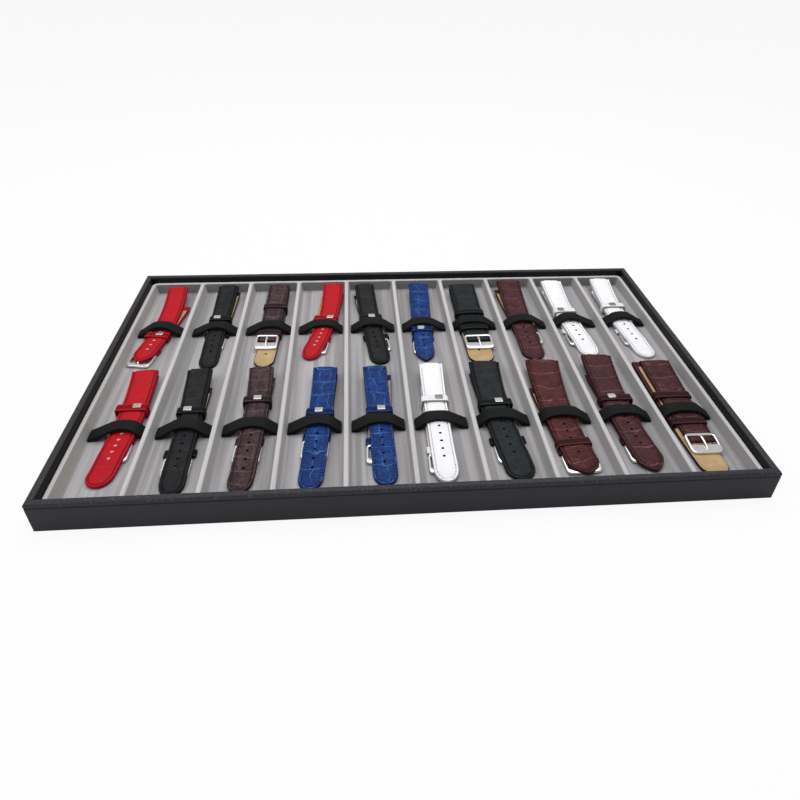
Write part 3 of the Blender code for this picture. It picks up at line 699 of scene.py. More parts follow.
def channel_rings(column):
    """Rings from the ridge tops over the rolled lip, down the leaning wall,
    round the fillet and in over the floor to the channel's middle line."""
    middle = channel_middle(column)
    half_x, half_y = PITCH / 2 - RIDGE_FLAT / 2, LINER_HALF_Y - RIM_FLAT
    rings = [outline_ring(*liner_limits(column, 0.0), LINER_TOP)]
    lip, bend = np.linspace(math.pi / 2, 0.0, 8), np.linspace(0.0, math.pi / 2, 7)
    levels = [(WALL_TOP + RIDGE_ROLL * math.sin(a), RIDGE_ROLL * math.cos(a)) for a in lip]
    for a in bend:
        z = CHANNEL_FLOOR + FLOOR_FILLET * (1.0 - math.sin(a))
        levels.append((z, RIDGE_ROLL + WALL_LEAN + FLOOR_FILLET * (1.0 - math.cos(a))))
    for z, inset in levels:
        radius = POCKET_CORNER - min(inset, POCKET_CORNER / 2)
        left, right = middle - half_x + inset, middle + half_x - inset
        rings.append(outline_ring(left, right, half_y - inset, radius, radius, z))
    floor = rings[-1]
    for share in (0.8, 0.55, 0.28, 0.0):
        ring = floor.copy()
        ring[:, 0] = middle + (floor[:, 0] - middle) * share
        ring[:, 1] *= 1.0 - (1.0 - share) * FLOOR_HALF / LINER_HALF_Y
        rings.append(ring)
    return np.stack(rings)


def liner_edge_ring(grow, z):
    """The liner's outline: the outer sides of all ten channels' limits, from
    the right side along the back, down the left side and along the front."""
    rings = [outline_ring(*liner_limits(column, grow), z) for column in range(1, CHANNELS + 1)]
    first, last = rings[0], rings[-1]
    back = SIDE_POINTS + CORNER_POINTS
    back_end = back + END_POINTS
    front = back_end + 2 * CORNER_POINTS + SIDE_POINTS
    front_end = front + END_POINTS
    parts = [last[:back_end]]
    parts += [ring[back - 1:back_end + 1] for ring in rings[-2:0:-1]]
    parts.append(first[back:front_end])
    parts += [ring[front - 1:front_end + 1] for ring in rings[1:-1]]
    parts.append(last[front:])
    return np.concatenate(parts)


def make_liner():
    """The flocked liner: ten channel grids and the edge that runs round them,
    down to the base and in under the liner to a line along its middle."""
    points, faces, start = [], [], 0
    for column in range(1, CHANNELS + 1):
        rings = channel_rings(column)
        faces.append(lattice(*rings.shape[:2], start, closed=True))
        points.append(rings.reshape(-1, 3))
        start += len(points[-1])
    turn = np.linspace(0.0, math.pi / 2, 6)
    levels = [(LINER_EDGE * math.sin(a), LINER_TOP - LINER_EDGE * (1.0 - math.cos(a))) for a in turn]
    levels += [(LINER_EDGE, LINER_WAIST), (LINER_EDGE, LINER_BOTTOM)]
    edge = [liner_edge_ring(grow, z) for grow, z in levels]
    under = edge[-1] * (0.4, 0.0, 1.0)
    edge = np.stack(edge + [under])
    faces.append(lattice(*edge.shape[:2], start, closed=True))
    points.append(edge.reshape(-1, 3))
    make_piece("flocked_liner", np.concatenate(points), np.concatenate(faces), [FLOCK], ("liner",))


# Straps

class Layout:
    """Where the two pieces of one strap set lie: millimetres, arrays allowed."""

    def __init__(self, strap, column, bridge_y):
        self.strap = strap
        self.middle = channel_middle(column)
        self.bridge_y = bridge_y
        self.lug_y, self.tip_y = strap.ends
        self.short_length = SHORT_LENGTH + strap.extra
        self.bar_y = strap.short_lug - self.short_length
        self.buckle_front = self.bar_y - BUCKLE_LENGTH + REAR_BAR
        self.short_on_top = strap.upper == "short"

    def holed_share(self, y):
        """Share of the holed piece's length from its lug end, 1 at its tip."""
        return (self.lug_y - y) / (self.lug_y - self.tip_y)

    def short_share(self, y):
        """Share of the short piece's length from its lug end, 1 at the bar."""
        return (self.strap.short_lug - y) / self.short_length

    def holed_x(self, y):
        """Parabola through the shifts at the lug end, the bridge and the tip."""
        places = (self.lug_y, self.bridge_y, self.tip_y)
        total = 0.0
        for i, shift in enumerate(self.strap.path):
            weight = 1.0
            for j, other in enumerate(places):
                if j != i:
                    weight = weight * (y - other) / (places[i] - other)
            total = total + weight * shift
        return self.middle + total * FLOOR_HALF / 100

    def short_x(self, y):
        start, end = self.strap.short_path
        return self.middle + (start + (end - start) * self.short_share(y)) * FLOOR_HALF / 100

    def holed_half(self, y):
        wide, narrow = self.strap.widths
        return (wide + (narrow - wide) * clamp(self.holed_share(y) / WIDTH_TAPER)) / 2

    def short_half(self, y):
        wide, narrow = self.strap.widths
        return (wide + (narrow - wide) * clamp(self.short_share(y))) / 2

    def holed_thickness(self, y):
        thinning = clamp((self.holed_share(y) - THINNING_START) / THINNING_RUN)
        return HOLED_THICKNESS - HOLED_THINNING * thinning

    def short_thickness(self, y):
        return SHORT_THICKNESS - SHORT_THINNING * clamp(self.short_share(y))

    def seat(self, y):
        """Underside of the lower piece: its lug end springs up."""
        start = self.bridge_y + BRIDGE_LENGTH / 2
        return SEAT + LUG_RISE * np.maximum((y - start) / (self.lug_y - start), 0.0) ** 2

    def lower_top(self, y):
        thick = self.holed_thickness(y) if self.short_on_top else self.short_thickness(y)
        return self.seat(y) + thick - BITE

    def upper_bottom(self, y):
        """The upper piece lies on the lower one, and past the buckle it comes
        down to the channel floor."""
        height = self.lower_top(y)
        if self.short_on_top:
            return height
        fall = clamp((self.buckle_front + FRONT_BAR - y) / TIP_DROP)
        return height + (self.seat(y) - height) * fall

    def stack_top(self, y):
        thick = self.short_thickness(y) if self.short_on_top else self.holed_thickness(y)
        return self.upper_bottom(y) + thick

    def edges(self, y):
        """Left and right edge of the two pieces together."""
        left = np.minimum(self.holed_x(y) - self.holed_half(y), self.short_x(y) - self.short_half(y))
        right = np.maximum(self.holed_x(y) + self.holed_half(y), self.short_x(y) + self.short_half(y))
        return left, right


def lean(centre, y):
    """How far a middle line moves to the side per millimetre of the way to the
    front."""
    return (centre(y - 1.0) - centre(y + 1.0)) / 2.0


class Strip:
    """One leather piece, worked out in its own coordinates: "side" across it
    and "t" along it from its lug end, both in millimetres."""

    def __init__(self, layout, kind):
        self.layout = layout
        self.kind = kind
        holed = kind == "holed"
        self.start = layout.lug_y if holed else layout.strap.short_lug
        past_bar = PAST_BAR_ON_TOP if layout.short_on_top else PAST_BAR
        self.length = layout.lug_y - layout.tip_y if holed else layout.short_length + past_bar
        self.centre = layout.holed_x if holed else layout.short_x
        self.half = layout.holed_half if holed else layout.short_half
        self.thickness = layout.holed_thickness if holed else layout.short_thickness
        self.upper = holed != layout.short_on_top
        self.padding = RAISED_PADDING if layout.strap.leather in RAISED_LEATHERS else FLAT_PADDING
        self.holes = np.array([])
        if holed:
            first, last = layout.strap.holes
            self.holes = self.start - np.linspace(first, last, 5)
        bend = self.length - TIP_LENGTH - 1.0
        steps = np.concatenate([np.linspace(0.0, bend, 60)[:-1], np.linspace(bend, self.length, 60)])
        width = self.half(self.start - steps) * self.taper(steps)
        self.outline = np.stack([width, steps], axis=1)

    def taper(self, t):
        """Share of the full width: 1 up to the tip.  A round tip is a quarter of
        a superellipse; a pointed one mixes a sine with a steeper curve and is
        blunt over its last millimetre.  The short piece has no tip."""
        if self.kind == "short":
            return np.ones_like(t)
        u = clamp((self.length - t) / TIP_LENGTH)
        if self.layout.strap.pointed:
            point = 0.72 * np.sin(math.pi / 2 * u) ** 0.85 + 0.28 * (1.0 - (1.0 - u) ** 3) ** 0.5
            return point * (1.0 - (1.0 - clamp(u * 14.0)) ** 2) ** 0.25
        return (1.0 - (1.0 - u) ** 2.3) ** 0.5

    def rim_distance(self, side, t):
        """Distance to the nearest point of the strip's long outline."""
        flat = np.stack([np.abs(side).ravel(), t.ravel()], axis=1)
        best = np.full(len(flat), 1.0e9)
        first, second = self.outline[:-1], self.outline[1:]
        run = second - first
        length = (run ** 2).sum(axis=1)
        for low in range(0, len(flat), 4096):
            spot = flat[low:low + 4096, None, :]
            share = clamp(((spot - first) * run).sum(axis=2) / length)
            near = first + share[..., None] * run
            best[low:low + 4096] = np.sqrt(((spot - near) ** 2).sum(axis=2)).min(axis=1)
        return best.reshape(side.shape)

    def surfaces(self, side, t):
        """Heights of the outer face and of the lining over the lining's plane:
        a thin flange with a rounded edge, a stitched groove, and a pad that
        rises inside it; the ends are rolled."""
        rim = self.rim_distance(side, t)
        y = self.start - t
        thick = self.thickness(y) - (0.0 if self.upper else BITE)
        pad = self.padding.share * np.maximum(thick - FLANGE, LEAST_PAD)
        flange = thick - pad
        edge_height = EDGE_SHARE * flange
        rise = ease((rim - PAD_START) / self.padding.slope)
        crown = 1.0 - (side / np.maximum(self.half(y), 1.0)) ** 2
        groove = self.padding.groove * np.exp(-((rim - STITCH_INSET) / GROOVE_WIDTH) ** 2)
        fold = FOLD_DEPTH * np.exp(-((t - FOLD_PLACE) / FOLD_WIDTH) ** 2)
        outer = edge_height + (flange - edge_height) * quarter_round(rim, EDGE_ROUND)
        outer = outer + pad * rise * (1.0 - PAD_CROWN + PAD_CROWN * crown) - groove - fold * rise
        lining = edge_height * (1.0 - quarter_round(rim, LINING_ROUND))
        roll = quarter_round(t, LUG_ROUND)
        if self.kind == "short":
            roll = roll * quarter_round(self.length - t, BAR_ROUND)
        centre = edge_height + 0.35 * pad * rise
        return centre + (outer - centre) * roll, centre + (lining - centre) * roll, rim

    def locate(self, side, t, height):
        """Place in the tray of points on the strip: out to the side at right
        angles to its middle line; the face points down on the lower piece."""
        y = self.start - t
        slope = lean(self.centre, y)
        size = np.sqrt(1.0 + slope ** 2)
        if self.upper:
            z = self.layout.upper_bottom(y) + height
        else:
            z = self.layout.lower_top(y) - height
        return np.stack([self.centre(y) + side / size, y + side * slope / size, z], axis=-1)

    def stations(self):
        """Places along the strip, closer at its ends and at its holes, and the
        holes' own places among them."""
        near = np.array([0.0, 0.12, 0.4, 0.8, 1.3, 2.0, 2.9, 3.4, 3.9, 5.0])
        if self.kind == "short":
            body = np.linspace(7.0, self.length - 3.5, 20)
            far = self.length - near[:6][::-1]
            return np.concatenate([near, body, far]), np.array([], dtype=int)
        tip = self.length - TIP_LENGTH * (1.0 - np.sin(np.linspace(0.0, math.pi / 2, 16)))
        punched = (self.holes[:, None] + HOLE_HALF * np.array([-1.0, 0.0, 1.0])).ravel()
        between = (self.holes[1:] + self.holes[:-1]) / 2
        body = np.linspace(7.0, self.holes[0] - 3.0, 18)
        rest = np.linspace(self.holes[-1] + 3.0, self.length - TIP_LENGTH - 1.0, 4)
        rest = rest[(rest < self.length - TIP_LENGTH) & (rest > self.holes[-1] + 1.4)]
        t = np.sort(np.concatenate([near, body, punched, between, rest, tip]))
        return t, np.searchsorted(t, self.holes)


# Steps along and across the grid from a hole's middle to its eight neighbours
PUNCH = np.array([(-1, -1), (-1, 0), (-1, 1), (0, 1), (1, 1), (1, 0), (1, -1), (0, -1)])


def columns_across(half):
    """Places across a strip of each half width: the middle line, a column
    beside the holes, one half way out, then closer and closer to the edge."""
    inset = np.array([4.6, 3.4, 2.6, 2.15, 1.75, 1.35, 0.9, 0.5, 0.25, 0.08, 0.0])[:, None]
    half_way = 0.5 * (HOLE_HALF + half - inset[0])
    inner = np.stack([np.zeros_like(half), np.full_like(half, HOLE_HALF), half_way])
    right = np.concatenate([inner, np.maximum(half - inset, half_way + 0.05)]).T
    return np.concatenate([-right[:, :0:-1], right], axis=1)


def hole_rings(middle_t, high, low, hole_kind):
    """Rings of one punched hole, from the face at a height down to the lining:
    the leather draws in round the punch, more so round a pale hole."""
    angle = np.arctan2(PUNCH[:, 0], PUNCH[:, 1])
    neck = HOLE_NECK[hole_kind]
    rings = []
    for radius, height in (
        (HOLE_RADIUS, high), (neck, high - 0.35), (neck, low + 0.25), (HOLE_BACK_RADIUS, low),
    ):
        side, along = radius * np.cos(angle), middle_t + radius * np.sin(angle)
        rings.append(np.stack([side, along, np.full_like(side, height)], axis=1))
    return np.concatenate(rings)


def make_leather(name, strip, hole_kind):
    """Two sheets that meet at the strip's outline: the outer face and the
    lining, joined by the walls of the punched holes.  A face is leather (0),
    lining (1) or the raw edge of a hole (2), and each piece shows its own
    stretch of the hide."""
    t, holes = strip.stations()
    side = columns_across(strip.half(strip.start - t)) * strip.taper(t)[:, None]
    along = np.repeat(t[:, None], side.shape[1], axis=1)
    top, under, rim = strip.surfaces(side, along)
    under[:, [0, -1]] = top[:, [0, -1]]
    rows, columns = side.shape
    middle = columns // 2
    local = [np.stack([side, along, height], axis=-1).reshape(-1, 3) for height in (top, under)]
    place = [np.stack([side, along, rim], axis=-1).reshape(-1, 3)] * 2
    sheets = [lattice(rows, columns), lattice(rows, columns, rows * columns)]
    row_of = np.arange(rows - 1).repeat(columns - 1)
    column_of = np.tile(np.arange(columns - 1), rows - 1)
    punched = np.zeros(len(sheets[0]), dtype=bool)
    for hole in holes:
        punched |= np.isin(row_of, (hole - 1, hole)) & np.isin(column_of, (middle - 1, middle))
    face_t = along[:-1, :-1].ravel() + np.diff(along, axis=0)[:, :-1].ravel() / 2
    face_rim = (rim[:-1, :-1] + rim[1:, 1:]).ravel() / 2
    turned = np.full(len(face_t), TURNED_EDGE)
    if strip.layout.short_on_top:
        turned[face_t < WIDE_TURNED_SHARE * strip.length] = WIDE_TURNED_EDGE
    lined = (face_rim > turned) & (face_t > LINING_START)
    if strip.kind == "short":
        lined &= face_t < strip.length - LINING_STOP
    bands = [np.zeros((~punched).sum(), dtype=int), lined[~punched].astype(int)]
    faces = [sheet[~punched] for sheet in sheets]
    count = 2 * rows * columns
    for hole in holes:
        rings = hole_rings(t[hole], top[hole, middle], under[hole, middle], hole_kind)
        local.append(rings)
        place.append(np.stack([rings[:, 0], rings[:, 1], np.full(len(rings), 5.0)], axis=1))
        above = (hole + PUNCH[:, 0]) * columns + middle + PUNCH[:, 1]
        chain = [above, *(count + np.arange(len(rings)).reshape(-1, len(PUNCH))), above + rows * columns]
        for band, first, second in zip((0, 2, 2, 2, 1), chain, chain[1:]):
            faces.append(np.stack([first, np.roll(first, -1), np.roll(second, -1), second], axis=1))
            bands.append(np.full(len(PUNCH), band))
        count += len(rings)
    local = np.concatenate(local)
    points = strip.locate(local[:, 0], local[:, 1], local[:, 2])
    place = np.concatenate(place)
    place[:, 1] += sum(map(ord, name)) % 97
    leather = strip.layout.strap.leather
    materials = [LEATHERS[leather], LINING, HOLES[hole_kind]]
    return make_piece(name, points, np.concatenate(faces), materials,
                      bands=np.concatenate(bands), place=place)


def make_stitches(name, strip, seam, lining=False):
    """Thread dashes: spindles laid along the line that keeps one distance
    inside the outline, on both sides and round the tip."""
    outline = strip.outline
    run = np.gradient(outline, axis=0)
    run /= np.linalg.norm(run, axis=1, keepdims=True)
    line = outline + STITCH_INSET * np.stack([-run[:, 1], run[:, 0]], axis=1)
    keep = (line[:, 0] > 0.0) & (line[:, 1] > seam.start)
    if strip.kind == "short":
        keep &= line[:, 1] < strip.length - 7.0
    line = line[keep]
    keep = strip.rim_distance(line[:, 0], line[:, 1]) > STITCH_INSET - 0.12
    line = line[keep]
    reach = np.concatenate([[0.0], np.cumsum(np.linalg.norm(np.diff(line, axis=0), axis=1))])
    middle = np.arange(seam.pitch * 0.5, reach[-1], seam.pitch)
    centre = np.stack([np.interp(middle, reach, line[:, k]) for k in (0, 1)], axis=1)
    ahead = np.stack([np.interp(middle + 0.4, reach, line[:, k]) for k in (0, 1)], axis=1)
    behind = np.stack([np.interp(middle - 0.4, reach, line[:, k]) for k in (0, 1)], axis=1)
    way = (ahead - behind) / np.linalg.norm(ahead - behind, axis=1, keepdims=True)
    centre = np.concatenate([centre, centre * (-1, 1)])
    way = np.concatenate([way, way * (-1, 1)])
    top, under, _ = strip.surfaces(centre[:, 0], centre[:, 1])
    base = under if lining else top
    p = np.array([-1.0, -0.75, 0.0, 0.75, 1.0])[:, None]
    turn = np.linspace(0.0, 2 * math.pi, 7)[None, :-1]
    girth = np.sqrt(1.0 - np.abs(p) ** 3)
    forth = (p * seam.length / 2)[None]
    out = (girth * np.cos(turn) * seam.width / 2)[None]
    up = (girth * np.sin(turn) * seam.height - 0.03)[None] * (-1.0 if lining else 1.0)
    side = centre[:, 0, None, None] + way[:, 0, None, None] * forth - way[:, 1, None, None] * out
    along = centre[:, 1, None, None] + way[:, 1, None, None] * forth + way[:, 0, None, None] * out
    points = strip.locate(side, along, base[:, None, None] + up)
    one = lattice(5, 6, closed=True)
    faces = (one[None] + 30 * np.arange(len(centre))[:, None, None]).reshape(-1, 4)
    leather = strip.layout.strap.leather
    return make_piece(name, points.reshape(-1, 3), faces, [THREADS[leather]])


def loop_outline(left, right, bottom, top, corner, crown, count=14):
    """Closed outline of a loop: rounded corners, the lower ones of a smaller
    radius, and a top that is crowned as a parabola."""
    turn = np.linspace(0.0, math.pi / 2, 7)
    span = np.linspace(1.0, -1.0, count)[1:-1]
    half, middle = (right - left) / 2, (right + left) / 2
    corners = []
    foot = corner * 0.6
    for quarter, radius in enumerate((corner, corner, foot, foot)):
        angle = turn + quarter * math.pi / 2
        x = (half - radius) * (1 if quarter in (0, 3) else -1) + radius * np.cos(angle)
        z = (top - radius if quarter < 2 else bottom + radius) + radius * np.sin(angle)
        corners.append(np.stack([x, z], axis=1))
    roof = np.stack([span * (half - corner), np.full(count - 2, top)], axis=1)
    floor = np.stack([-span * (half - foot), np.full(count - 2, bottom)], axis=1)
    ring = np.concatenate([corners[0], roof, corners[1], corners[2], floor, corners[3]])
    ring[:, 1] += crown * (1.0 - (ring[:, 0] / half) ** 2) * (ring[:, 1] > (top + bottom) / 2)
    return ring + (middle, 0.0)


def make_loop(name, outline, y, length, wall, slope, material):
    """A band carried round a closed outline: crowned outside, with rounded
    edges, turned with the strap's middle line."""
    run = np.roll(outline, -1, axis=0) - np.roll(outline, 1, axis=0)
    run /= np.maximum(np.linalg.norm(run, axis=1, keepdims=True), 1.0e-9)
    inward = np.stack([-run[:, 1], run[:, 0]], axis=1)
    band = np.array([[0.30, -1.0], [0.09, -0.95], [0.02, -0.86], [0.0, -0.4], [0.0, 0.4], [0.02, 0.86],
                     [0.09, 0.95], [0.30, 1.0], [0.85, 1.0], [wall, 0.8], [wall, -0.8], [0.85, -1.0]])
    depth = np.minimum(band[:, 0], wall)
    shift = band[:, 1] * length / 2
    spot = outline[:, None, :] + inward[:, None, :] * depth[None, :, None]
    centre = outline[:, 0].mean()
    x = spot[..., 0] - slope * shift[None, :]
    points = np.stack([x, y + shift[None, :] + slope * (x - centre), spot[..., 1]], axis=-1)
    rim = np.broadcast_to((1.0 - np.abs(band[:, 1])) * length / 2, x.shape)
    place = np.stack([x, points[..., 1], rim], axis=-1)
    loop = np.concatenate([points, points[:1]]).reshape(-1, 3)
    place = np.concatenate([place, place[:1]]).reshape(-1, 3)
    faces = lattice(len(outline) + 1, len(band), closed=True)
    return make_piece(name, loop, faces, [material], place=place)


def rounded_block(name, centre, half, exponent, slope, material):
    """A block with soft edges: each coordinate is its half size times a low
    power of a sphere's sine or cosine, and the middle line's lean shears it."""
    climb = np.linspace(-math.pi / 2, math.pi / 2, 15)[:, None]
    turn = np.linspace(0.0, 2 * math.pi, 33)[None, :-1]
    girth = np.cos(climb)
    girth[[0, -1]] = 0.0
    girth = soft_power(girth, exponent)
    x = half[0] * girth * soft_power(np.cos(turn), exponent)
    y = half[1] * girth * soft_power(np.sin(turn), exponent)
    z = np.broadcast_to(half[2] * soft_power(np.sin(climb), exponent), x.shape)
    points = np.stack([centre[0] + x - slope * y, centre[1] + y, centre[2] + z], axis=-1)
    return make_piece(name, points.reshape(-1, 3), lattice(15, 32, closed=True), [material], angle=70)


def make_buckle(name, layout):
    """A flat frame round the strap's end: the ring between a rounded outer
    outline and the opening, both rectangles with soft corners, with a soft
    square section.  A buckle that lies on top has a wide front bar and tilts."""
    y0 = layout.bar_y
    slope = float(lean(layout.short_x, y0))
    size = math.hypot(1.0, slope)
    half = float(layout.short_half(y0)) + OVERHANG
    front = BUCKLE_LENGTH - REAR_BAR
    turn = np.linspace(0.0, 2 * math.pi, 97)[:-1]

    def outline(side, rear, fore, exponent):
        x = side * soft_power(np.cos(turn), exponent)
        v = (fore + rear) / 2 + (fore - rear) / 2 * soft_power(np.sin(turn), exponent)
        return np.stack([x, v], axis=1)

    bar = WIDE_BAR if layout.short_on_top else FRONT_BAR
    outer = outline(half, -REAR_BAR, front, 0.30)
    inner = outline(half - SIDE_BAR, 0.0, front - bar, 0.16)
    bend = np.linspace(0.0, 2 * math.pi, 17)[:-1]
    blend = 0.5 - 0.5 * soft_power(np.cos(bend), 0.45)
    lift = BUCKLE_HALF_HEIGHT * soft_power(np.sin(bend), 0.45)
    spot = outer[:, None, :] + (inner - outer)[:, None, :] * blend[None, :, None]
    bottom, tilt = SEAT + BUCKLE_LIFT, 0.0
    if layout.short_on_top:
        bottom, tilt = float(layout.lower_top(y0)) - BITE, BUCKLE_TILT
    z = bottom + 1.05 + lift[None, :] + tilt * (1.0 - spot[..., 1] / front)
    x = float(layout.short_x(y0)) + spot[..., 0] / size + slope * spot[..., 1] / size
    y = y0 - spot[..., 1] / size + slope * spot[..., 0] / size
    points = np.stack([x, y, z], axis=-1)
    points = np.concatenate([points, points[:1]])
    faces = lattice(*points.shape[:2], closed=True)
    make_piece(name, points.reshape(-1, 3), faces, [METALS["steel"]], angle=60)
    make_tongue(name.replace("buckle", "tongue"), layout, slope, size, bottom, tilt)


def make_tongue(name, layout, slope, size, bottom, tilt):
    """The pin that swings on the rear bar: an oval section that grows thinner
    along half a sine wave from the bar to the top of the front bar, and closes
    to a rounded tip."""
    s = np.linspace(0.0, 1.0, 22)[:, None]
    turn = np.linspace(0.0, 2 * math.pi, 13)[None, :-1]
    reach = -0.6 + s * (BUCKLE_LENGTH - REAR_BAR - FRONT_BAR * 0.35)
    top = bottom + 2.0 + tilt * (1.0 - reach / (BUCKLE_LENGTH - REAR_BAR))
    rise = top + 0.25 + TONGUE_ARC * np.sin(math.pi * s) - 0.9 * (1.0 - ease(s * 6.0))
    girth = np.sqrt(1.0 - clamp((s - 0.94) / 0.06) ** 2 / 1.05) * clamp(s * 30.0)
    across = (TONGUE_HALF_WIDTH - TONGUE_NARROWING * s) * girth * np.cos(turn)
    up = TONGUE_HALF_HEIGHT * girth * np.sin(turn)
    y0 = layout.bar_y
    x = float(layout.short_x(y0)) + across / size + slope * reach / size
    y = y0 - reach / size + slope * across / size
    points = np.stack([x, y, rise + up], axis=-1)
    tip = np.repeat(points[-1:].mean(axis=1, keepdims=True), points.shape[1], axis=1)
    points = np.concatenate([points, tip])
    faces = lattice(*points.shape[:2], closed=True)
    make_piece(name, points.reshape(-1, 3), faces, [METALS["steel"]])


def make_bridge(name, layout, row_name, crowned):
    """Foam bridge: its underside lies flat on the channel floor at both ends
    and arches over the strap; its top rises in a straight slope from each end
    to the strap's edge.  Both lines bend softly, as means over a short width.
    Over the strap the bridge is crowned as a parabola, and its front edge
    draws back."""
    half_span = FLOOR_HALF + GAP * math.sqrt(2.0)
    back, front = layout.bridge_y + BRIDGE_LENGTH / 2, layout.bridge_y - BRIDGE_LENGTH / 2
    left, right = layout.edges(np.array([back, front]))
    left, right = float(left.min()) - layout.middle, float(right.max()) - layout.middle
    x = np.linspace(-half_span, half_span, 97)
    near = x[:, None] + np.linspace(-BRIDGE_BEND, BRIDGE_BEND, 9)[None, :]
    span = np.array([-half_span, left + 0.6, right - 0.6, half_span])
    slope = np.interp(near, span, [0.0, 1.0, 1.0, 0.0]).mean(axis=1)
    foot_left = min(-half_span + FOOT_REACH, left - 1.4)
    foot_right = max(half_span - FOOT_REACH, right + 1.4)
    span = np.array([foot_left, left - 0.2, right + 0.2, foot_right])
    arch = np.interp(near, span, [0.0, 1.0, 1.0, 0.0]).mean(axis=1)
    crown = clamp(1.0 - ((x - (left + right) / 2) / ((right - left) / 2)) ** 2)
    rows = []
    for share in np.linspace(0.0, 1.0, 5):
        y = back + (front - back) * share
        under = float(layout.stack_top(y)) + 0.12
        low = SEAT + (under - SEAT) * arch + (crowned - 0.25) * crown
        bevel = BRIDGE_BEVEL if share in (0.0, 1.0) else 0.0
        high = SEAT + FOOT_THICKNESS + (under + BRIDGE_LIFT - SEAT) * slope + crowned * crown - bevel
        rows.append((y + BRIDGE_DRAW * share * crown, low, np.maximum(high, low + LEAST_THICKNESS)))
    section = [(y, high) for y, _, high in rows] + [(y, low) for y, low, _ in rows[::-1]]
    sway = 0.12 * np.sin(x * 0.21 + layout.middle)
    points = np.stack([np.stack([layout.middle + x, y + sway, z], axis=-1) for y, z in section], axis=1)
    ends = np.repeat(points[[0, -1]].mean(axis=1, keepdims=True), len(section), axis=1)
    points = np.concatenate([ends[:1], points, ends[1:]])
    faces = lattice(*points.shape[:2], closed=True)
    make_piece(name, points.reshape(-1, 3), faces, [FOAM], (row_name,), angle=35)


def make_keepers(tag, layout, strip):
    """The loops round both pieces, and the plate that sits on one of them,
    turned with the upper piece."""
    strap = layout.strap
    padded = strap.leather == "green" and layout.short_on_top
    crown = PADDED_KEEPER_CROWN if padded else KEEPER_CROWN
    for number, front in enumerate(strap.keepers, start=1):
        y = front + KEEPER_LENGTH / 2
        left, right = (float(edge) for edge in layout.edges(y))
        top = float(layout.stack_top(y + KEEPER_LENGTH / 2)) + KEEPER_WALL
        slope = float(lean(strip.centre, y))
        left, right = left - KEEPER_WALL, right + KEEPER_WALL
        ring = loop_outline(left, right, SEAT + 0.1, top - 0.2, KEEPER_CORNER, crown)
        leather = KEEPERS[strap.leather]
        make_loop(f"loop_{tag}_{number}", ring, y, KEEPER_LENGTH, KEEPER_WALL, slope, leather)
        if strap.plate:
            y = front + PLATE_PLACE
            shift = PLATE_SHIFT.get(tag, 0.0)
            height = top + PLATE_HALF[2] - PLATE_SINK
            centre = (float(strip.centre(y)) + shift, y + slope * shift, height)
            metal = METALS[strap.plate]
            rounded_block(f"plate_{tag}", centre, PLATE_HALF, 0.22, slope, metal)


def make_fixed_loop(tag, layout):
    """The loop that is fixed behind the buckle, round the short piece alone."""
    leather = layout.strap.leather
    y = layout.bar_y + REAR_BAR + GAP + KEEPER_LENGTH / 2
    room = PADDED_LOOP_ROOM if leather in RAISED_LEATHERS else FIXED_LOOP_ROOM
    half = float(layout.short_half(y)) + KEEPER_WALL + room
    middle, top = float(layout.short_x(y)), float(layout.lower_top(y)) + 0.05
    ring = loop_outline(middle - half, middle + half, SEAT + 0.1, top, FIXED_LOOP_CORNER, 0.0)
    slope = float(lean(layout.short_x, y))
    make_loop(f"fixed_loop_{tag}", ring, y, KEEPER_LENGTH, FIXED_LOOP_WALL, slope, KEEPERS[leather])


def make_strap(row, column, strap, bridge_y):
    """All the pieces of one strap set, and the bridge over it.  Its long piece
    stands in for the CAD's whole set."""
    tag = f"{row}_{column:02d}"
    layout = Layout(strap, column, bridge_y)
    holed, short = Strip(layout, "holed"), Strip(layout, "short")
    upper = short if layout.short_on_top else holed
    hole_kind = "pale" if strap.leather == "red" else "dark"
    main = make_leather(f"long_piece_{tag}", holed, hole_kind)
    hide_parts(f"strap_{tag}")
    make_leather(f"short_piece_{tag}", short, hole_kind)
    make_stitches(f"stitches_{tag}", upper, SEAM)
    if layout.short_on_top:
        make_stitches(f"lining_stitches_{tag}", holed, LINING_SEAM, lining=True)
    make_buckle(f"buckle_{tag}", layout)
    make_keepers(tag, layout, upper)
    if not layout.short_on_top:
        make_fixed_loop(tag, layout)
    make_bridge(f"foam_bridge_{tag}", layout, f"bridge_{tag}", CROWNED.get(tag, BRIDGE_CROWN))


# The object

for rail_name, rail_side, runs_across in (
    ("rail_front", -1, True), ("rail_back", 1, True), ("rail_left", -1, False), ("rail_right", 1, False),
):
    rail(rail_name, rail_side, runs_across)
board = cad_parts["base_board"]
board.data.materials.clear()
board.data.materials.append(board_finish())
make_liner()
for row, sets, bridge_y in (("back", BACK_ROW, BRIDGE_BACK), ("front", FRONT_ROW, BRIDGE_FRONT)):
    for column, strap in enumerate(sets, start=1):
        make_strap(row, column, strap, bridge_y)


# Floor, light and camera

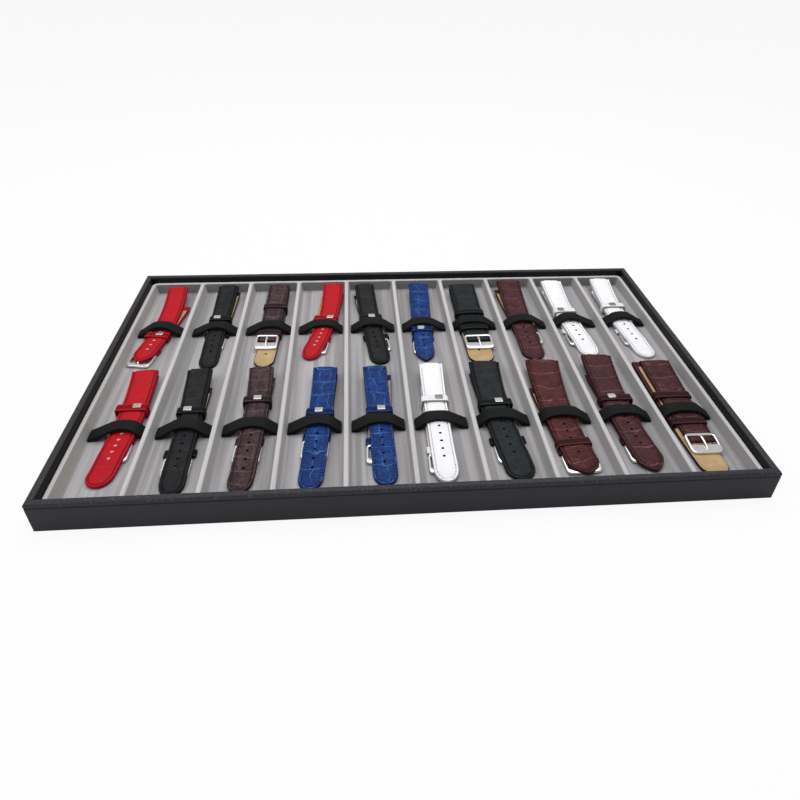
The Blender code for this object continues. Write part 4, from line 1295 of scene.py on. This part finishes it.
def make_floor():
    """A wide pale floor that is nearly white to the camera."""
    reach = 3.0
    corners = [(-reach, -reach, 0.0), (reach, -reach, 0.0), (reach, reach, 0.0), (-reach, reach, 0.0)]
    mesh = bpy.data.meshes.new("floor")
    mesh.from_pydata(corners, [], [(0, 1, 2, 3)])
    floor = bpy.data.objects.new("floor", mesh)
    bpy.context.scene.collection.objects.link(floor)
    finish = Finish("pale_floor", Roughness=0.9, Specular_IOR_Level=0.1)
    finish.shader.inputs["Base Color"].default_value = (0.82, 0.82, 0.82, 1.0)
    path = finish.tree.nodes.new("ShaderNodeLightPath")
    seen = Signal(finish, path.outputs["Is Camera Ray"])
    glow = finish.add("ShaderNodeEmission", {}, {"Color": (1.0, 1.0, 1.0, 1.0), "Strength": 1.0})
    both = finish.add("ShaderNodeMixShader", {}, {0: seen * 0.9, 2: glow})
    finish.tree.links.new(finish.shader.outputs[0], both.socket.node.inputs[1])
    finish.tree.links.new(both.socket, finish.output.inputs["Surface"])
    mesh.materials.append(finish.material)


def make_light():
    """Soft studio light: a pale world and two wide lamps overhead."""
    world = bpy.data.worlds.new("studio")
    bpy.context.scene.world = world
    world.use_nodes = True
    tree = world.node_tree
    background = tree.nodes["Background"]
    path = tree.nodes.new("ShaderNodeLightPath")
    level = tree.nodes.new("ShaderNodeMapRange")
    level.inputs["To Min"].default_value = 0.52
    level.inputs["To Max"].default_value = 1.0
    tree.links.new(path.outputs["Is Camera Ray"], level.inputs["Value"])
    tree.links.new(level.outputs[0], background.inputs["Strength"])
    background.inputs["Color"].default_value = (1.0, 1.0, 1.0, 1.0)
    lamps = (
        ("lamp_overhead", (0.05, 0.25, 0.95), (-15.0, 3.0, 0.0), 0.9, 7.0),
        ("lamp_left", (-0.75, -0.35, 0.80), (25.0, -42.0, 0.0), 0.5, 2.5),
    )
    for name, place, turn, size, power in lamps:
        lamp = bpy.data.lights.new(name, "AREA")
        lamp.size = size
        lamp.energy = power
        item = bpy.data.objects.new(name, lamp)
        item.location = place
        item.rotation_euler = [math.radians(angle) for angle in turn]
        bpy.context.scene.collection.objects.link(item)


def make_camera():
    """The photograph's view: from the front, above and a little to the left,
    as the fit of the tray's edges to the photograph gave it."""
    camera = bpy.data.cameras.new("camera")
    camera.sensor_width = 36.0
    camera.lens = 29.651
    camera.shift_x = -0.02338
    camera.shift_y = 0.02973
    camera.clip_start = 0.01
    item = bpy.data.objects.new("camera", camera)
    item.location = (-0.02858, -0.40135, 0.27013)
    item.rotation_euler = [math.radians(angle) for angle in (52.171, -1.26, -4.868)]
    bpy.context.scene.collection.objects.link(item)
    bpy.context.scene.camera = item


make_floor()
make_light()
make_camera()
bpy.context.scene.view_settings.view_transform = "Standard"
